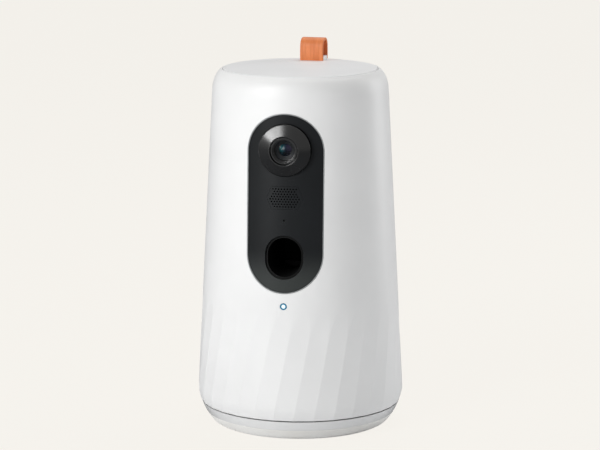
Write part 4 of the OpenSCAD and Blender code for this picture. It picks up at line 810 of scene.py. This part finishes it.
def buildTab():
    # One strap folded over, two plies standing on the lid: a rounded section carried along the fold's middle line
    c = tab
    w, t = c["width"] / 2, c["thick"] / 2
    half = c["depth"] / 2 - t
    bend = half - 1
    low = float(crownZ(c["y"] - c["depth"] / 2)) + 0.05
    turnZ = c["top"] - t - bend
    a = np.linspace(0, np.pi / 2, 10)
    rise = np.linspace(low, turnZ, 8)[:-1]
    belly = c["belly"] * np.sin(np.pi * (rise - low) / (turnZ - low))
    path = np.vstack([np.column_stack([-half - belly, rise]),
                      np.column_stack([-(half - bend) - bend * np.cos(a), turnZ + bend * np.sin(a)]),
                      np.column_stack([(half - bend) + bend * np.sin(a), turnZ + bend * np.cos(a)]),
                      np.column_stack([half + belly[::-1], rise[::-1]])])
    along = np.gradient(path, axis=0)
    along /= np.linalg.norm(along, axis=1, keepdims=True)
    out = np.stack([-along[:, 1], along[:, 0]], -1)
    corners = roundedLine([(-w, -t, c["edge"]), (w, -t, c["edge"]), (w, t, c["edge"]), (-w, t, c["edge"])], steps=4)
    section = []
    for here, after in zip(corners[:-1], corners[1:]):
        steps = 10 if abs(here[0] - after[0]) > w else 2  # only the long sides are divided
        section.append(np.linspace(here, after, steps)[:-1])
    section = np.vstack(section + [corners[-1:]])
    y = path[:, :1] + out[:, :1] * section[:, 1] + c["y"]
    z = path[:, 1:] + out[:, 1:] * section[:, 1]
    points = np.stack([np.broadcast_to(section[:, 0], y.shape), y, z], -1)
    parts = [gridPart(points), capPart(points[0]), capPart(points[-1])]
    makePiece("leatherTab", turnAll(parts, c["turn"]), "leather_orange", "lid", ["pull_tab"], sharp=60)
    inside = c["depth"] / 2 - c["thick"] - 0.1
    low, high = float(crownZ(c["y"])) - 1.5, lid["edgeZ"] + c["anchorTop"]
    anchor = bar(-w, w, c["y"] - inside, c["y"] + inside, low, high, 0.5)
    makePiece("tabAnchor", turnAll(anchor, c["turn"]), "lid_white", "lid", ["tab_anchor"])


buildLid()
buildTab()
print("lid and tab built")


# Metres and radians, from the camera that was fitted to the outlines; the azimuth is in degrees
shot = {"focalPx": 2568.0, "widthPx": 600, "distance": 1.7006, "height": 0.4561, "pitch": 0.1877, "azimuth": 9.8,
        "axisPx": 300.5, "sensor": 36, "clipEnd": 20}


def buildCamera():
    # Focal length and shift come from pixels, the place from a distance and an azimuth round the body
    c = shot
    made = bpy.data.cameras.new("studioCamera")
    made.sensor_width = c["sensor"]
    made.lens = c["sensor"] * c["focalPx"] / c["widthPx"]
    made.shift_x = (c["widthPx"] / 2 - c["axisPx"]) / c["widthPx"]
    made.clip_end = c["clipEnd"]
    holder = bpy.data.objects.new("studioCamera", made)
    a = math.radians(c["azimuth"])
    holder.location = (c["distance"] * math.sin(a), -c["distance"] * math.cos(a), c["height"])
    holder.rotation_euler = (math.pi / 2 - c["pitch"], 0, a)
    bpy.context.scene.collection.objects.link(holder)
    bpy.context.scene.camera = holder


studio = {
    "paper": "#F5F2EC", "bounce": "#F2F3F5", "mirrored": "#7C7D80",  # seen, lighting the object, and in its mirror
    "world": 0.3, "gloss": 0.05, "beyond": 0.985, "shadow": 0.04, "lift": 1.01,
    "frontEdge": -1.25, "reach": 6, "floorZ": -0.00005, "target": (0, 0, 0.12),  # metres
}
lamps = (  # name, azimuth, elevation, distance, width and height in metres, power in watts, roll
    ("keyStrip", -34, 28, 1.5, 0.85, 0.14, 9.6, 33),
    ("lowLeftSoftbox", -27, 8, 1.5, 0.3, 0.45, 3.6, 0),
    ("rightRimStrip", 125, 10, 1.2, 0.3, 1.0, 5.6, 0),
    ("backTopSoftbox", 170, 62, 1.4, 0.7, 0.5, 7.4, 0),
)


def addLamp(name, azimuth, elevation, distance, width, height, power, roll):
    # Area lamp on a ring round the object, aimed at a target and rolled about its beam; azimuth as for the camera
    a, e = math.radians(azimuth), math.radians(elevation)
    target = Vector(studio["target"])
    lamp = bpy.data.lights.new(name, "AREA")
    lamp.shape = "RECTANGLE"
    lamp.size, lamp.size_y = width, height
    lamp.energy = power
    holder = bpy.data.objects.new(name, lamp)
    spot = target + distance * Vector((math.sin(a) * math.cos(e), -math.cos(a) * math.cos(e), math.sin(e)))
    holder.location = spot
    aim = (target - spot).to_track_quat("-Z", "Y")
    holder.rotation_euler = (aim @ Quaternion((0, 0, 1), math.radians(roll))).to_euler()
    bpy.context.scene.collection.objects.link(holder)


def buildWorld():
    # Pale to the camera and through glass, darker to mirror rays, and a third as bright as a light
    s = studio
    world = bpy.data.worlds.new("paleStudio")
    bpy.context.scene.world = world
    world.use_nodes = True
    tree = world.node_tree
    tree.nodes.clear()
    ray = addNode(tree, "LightPath").outputs
    seen = addNode(tree, "Math", {0: ray["Is Camera Ray"], 1: ray["Is Transmission Ray"]}, operation="MAXIMUM")
    glossed = addNode(tree, "Math", {0: ray["Is Glossy Ray"], 1: s["gloss"]}, operation="MULTIPLY")
    share = addNode(tree, "Math", {0: seen.outputs["Value"], 1: glossed.outputs["Value"]}, operation="MAXIMUM")
    lit = addNode(tree, "Background", {"Color": linear("#FFFFFF"), "Strength": s["world"]})
    shown = addNode(tree, "Background", {"Color": linear(s["paper"]), "Strength": s["beyond"]})
    mix = addNode(tree, "MixShader", {0: share.outputs["Value"], 1: lit.outputs[0], 2: shown.outputs[0]})
    addNode(tree, "OutputWorld", {"Surface": mix.outputs[0]})


def buildFloor():
    # Seamless paper: flat and even to the camera, so only a soft trace of the shadow is left
    s = studio
    made = bpy.data.materials.new("seamlessPaper")
    made.use_nodes = True
    tree = made.node_tree
    tree.nodes.clear()
    ray = addNode(tree, "LightPath").outputs
    seen = addNode(tree, "Math", {0: ray["Is Camera Ray"], 1: 1 - s["shadow"]}, operation="MULTIPLY")
    tone = addNode(tree, "MixRGB", {"Fac": ray["Is Glossy Ray"], "Color1": linear(s["bounce"]),
                                    "Color2": linear(s["mirrored"])})
    paper = addNode(tree, "BsdfDiffuse", {"Color": tone.outputs["Color"]})
    even = addNode(tree, "Emission", {"Color": linear(s["paper"]), "Strength": s["lift"]})
    mix = addNode(tree, "MixShader", {0: seen.outputs["Value"], 1: paper.outputs[0], 2: even.outputs[0]})
    addNode(tree, "OutputMaterial", {"Surface": mix.outputs[0]})
    mesh = bpy.data.meshes.new("floor")
    front, reach, z = s["frontEdge"], s["reach"], s["floorZ"]
    corners = [(-reach, front, z), (reach, front, z), (reach, reach, z), (-reach, reach, z)]
    mesh.from_pydata(corners, [], [(0, 1, 2, 3)])
    mesh.materials.append(made)
    floor = bpy.data.objects.new("floor", mesh)
    bpy.context.scene.collection.objects.link(floor)


def buildStudio():
    # Plain view transform, then the world, the floor and the lamps
    bpy.context.scene.view_settings.view_transform = "Standard"
    buildWorld()
    buildFloor()
    for lamp in lamps:
        addLamp(*lamp)


buildCamera()
buildStudio()
print("studio built")
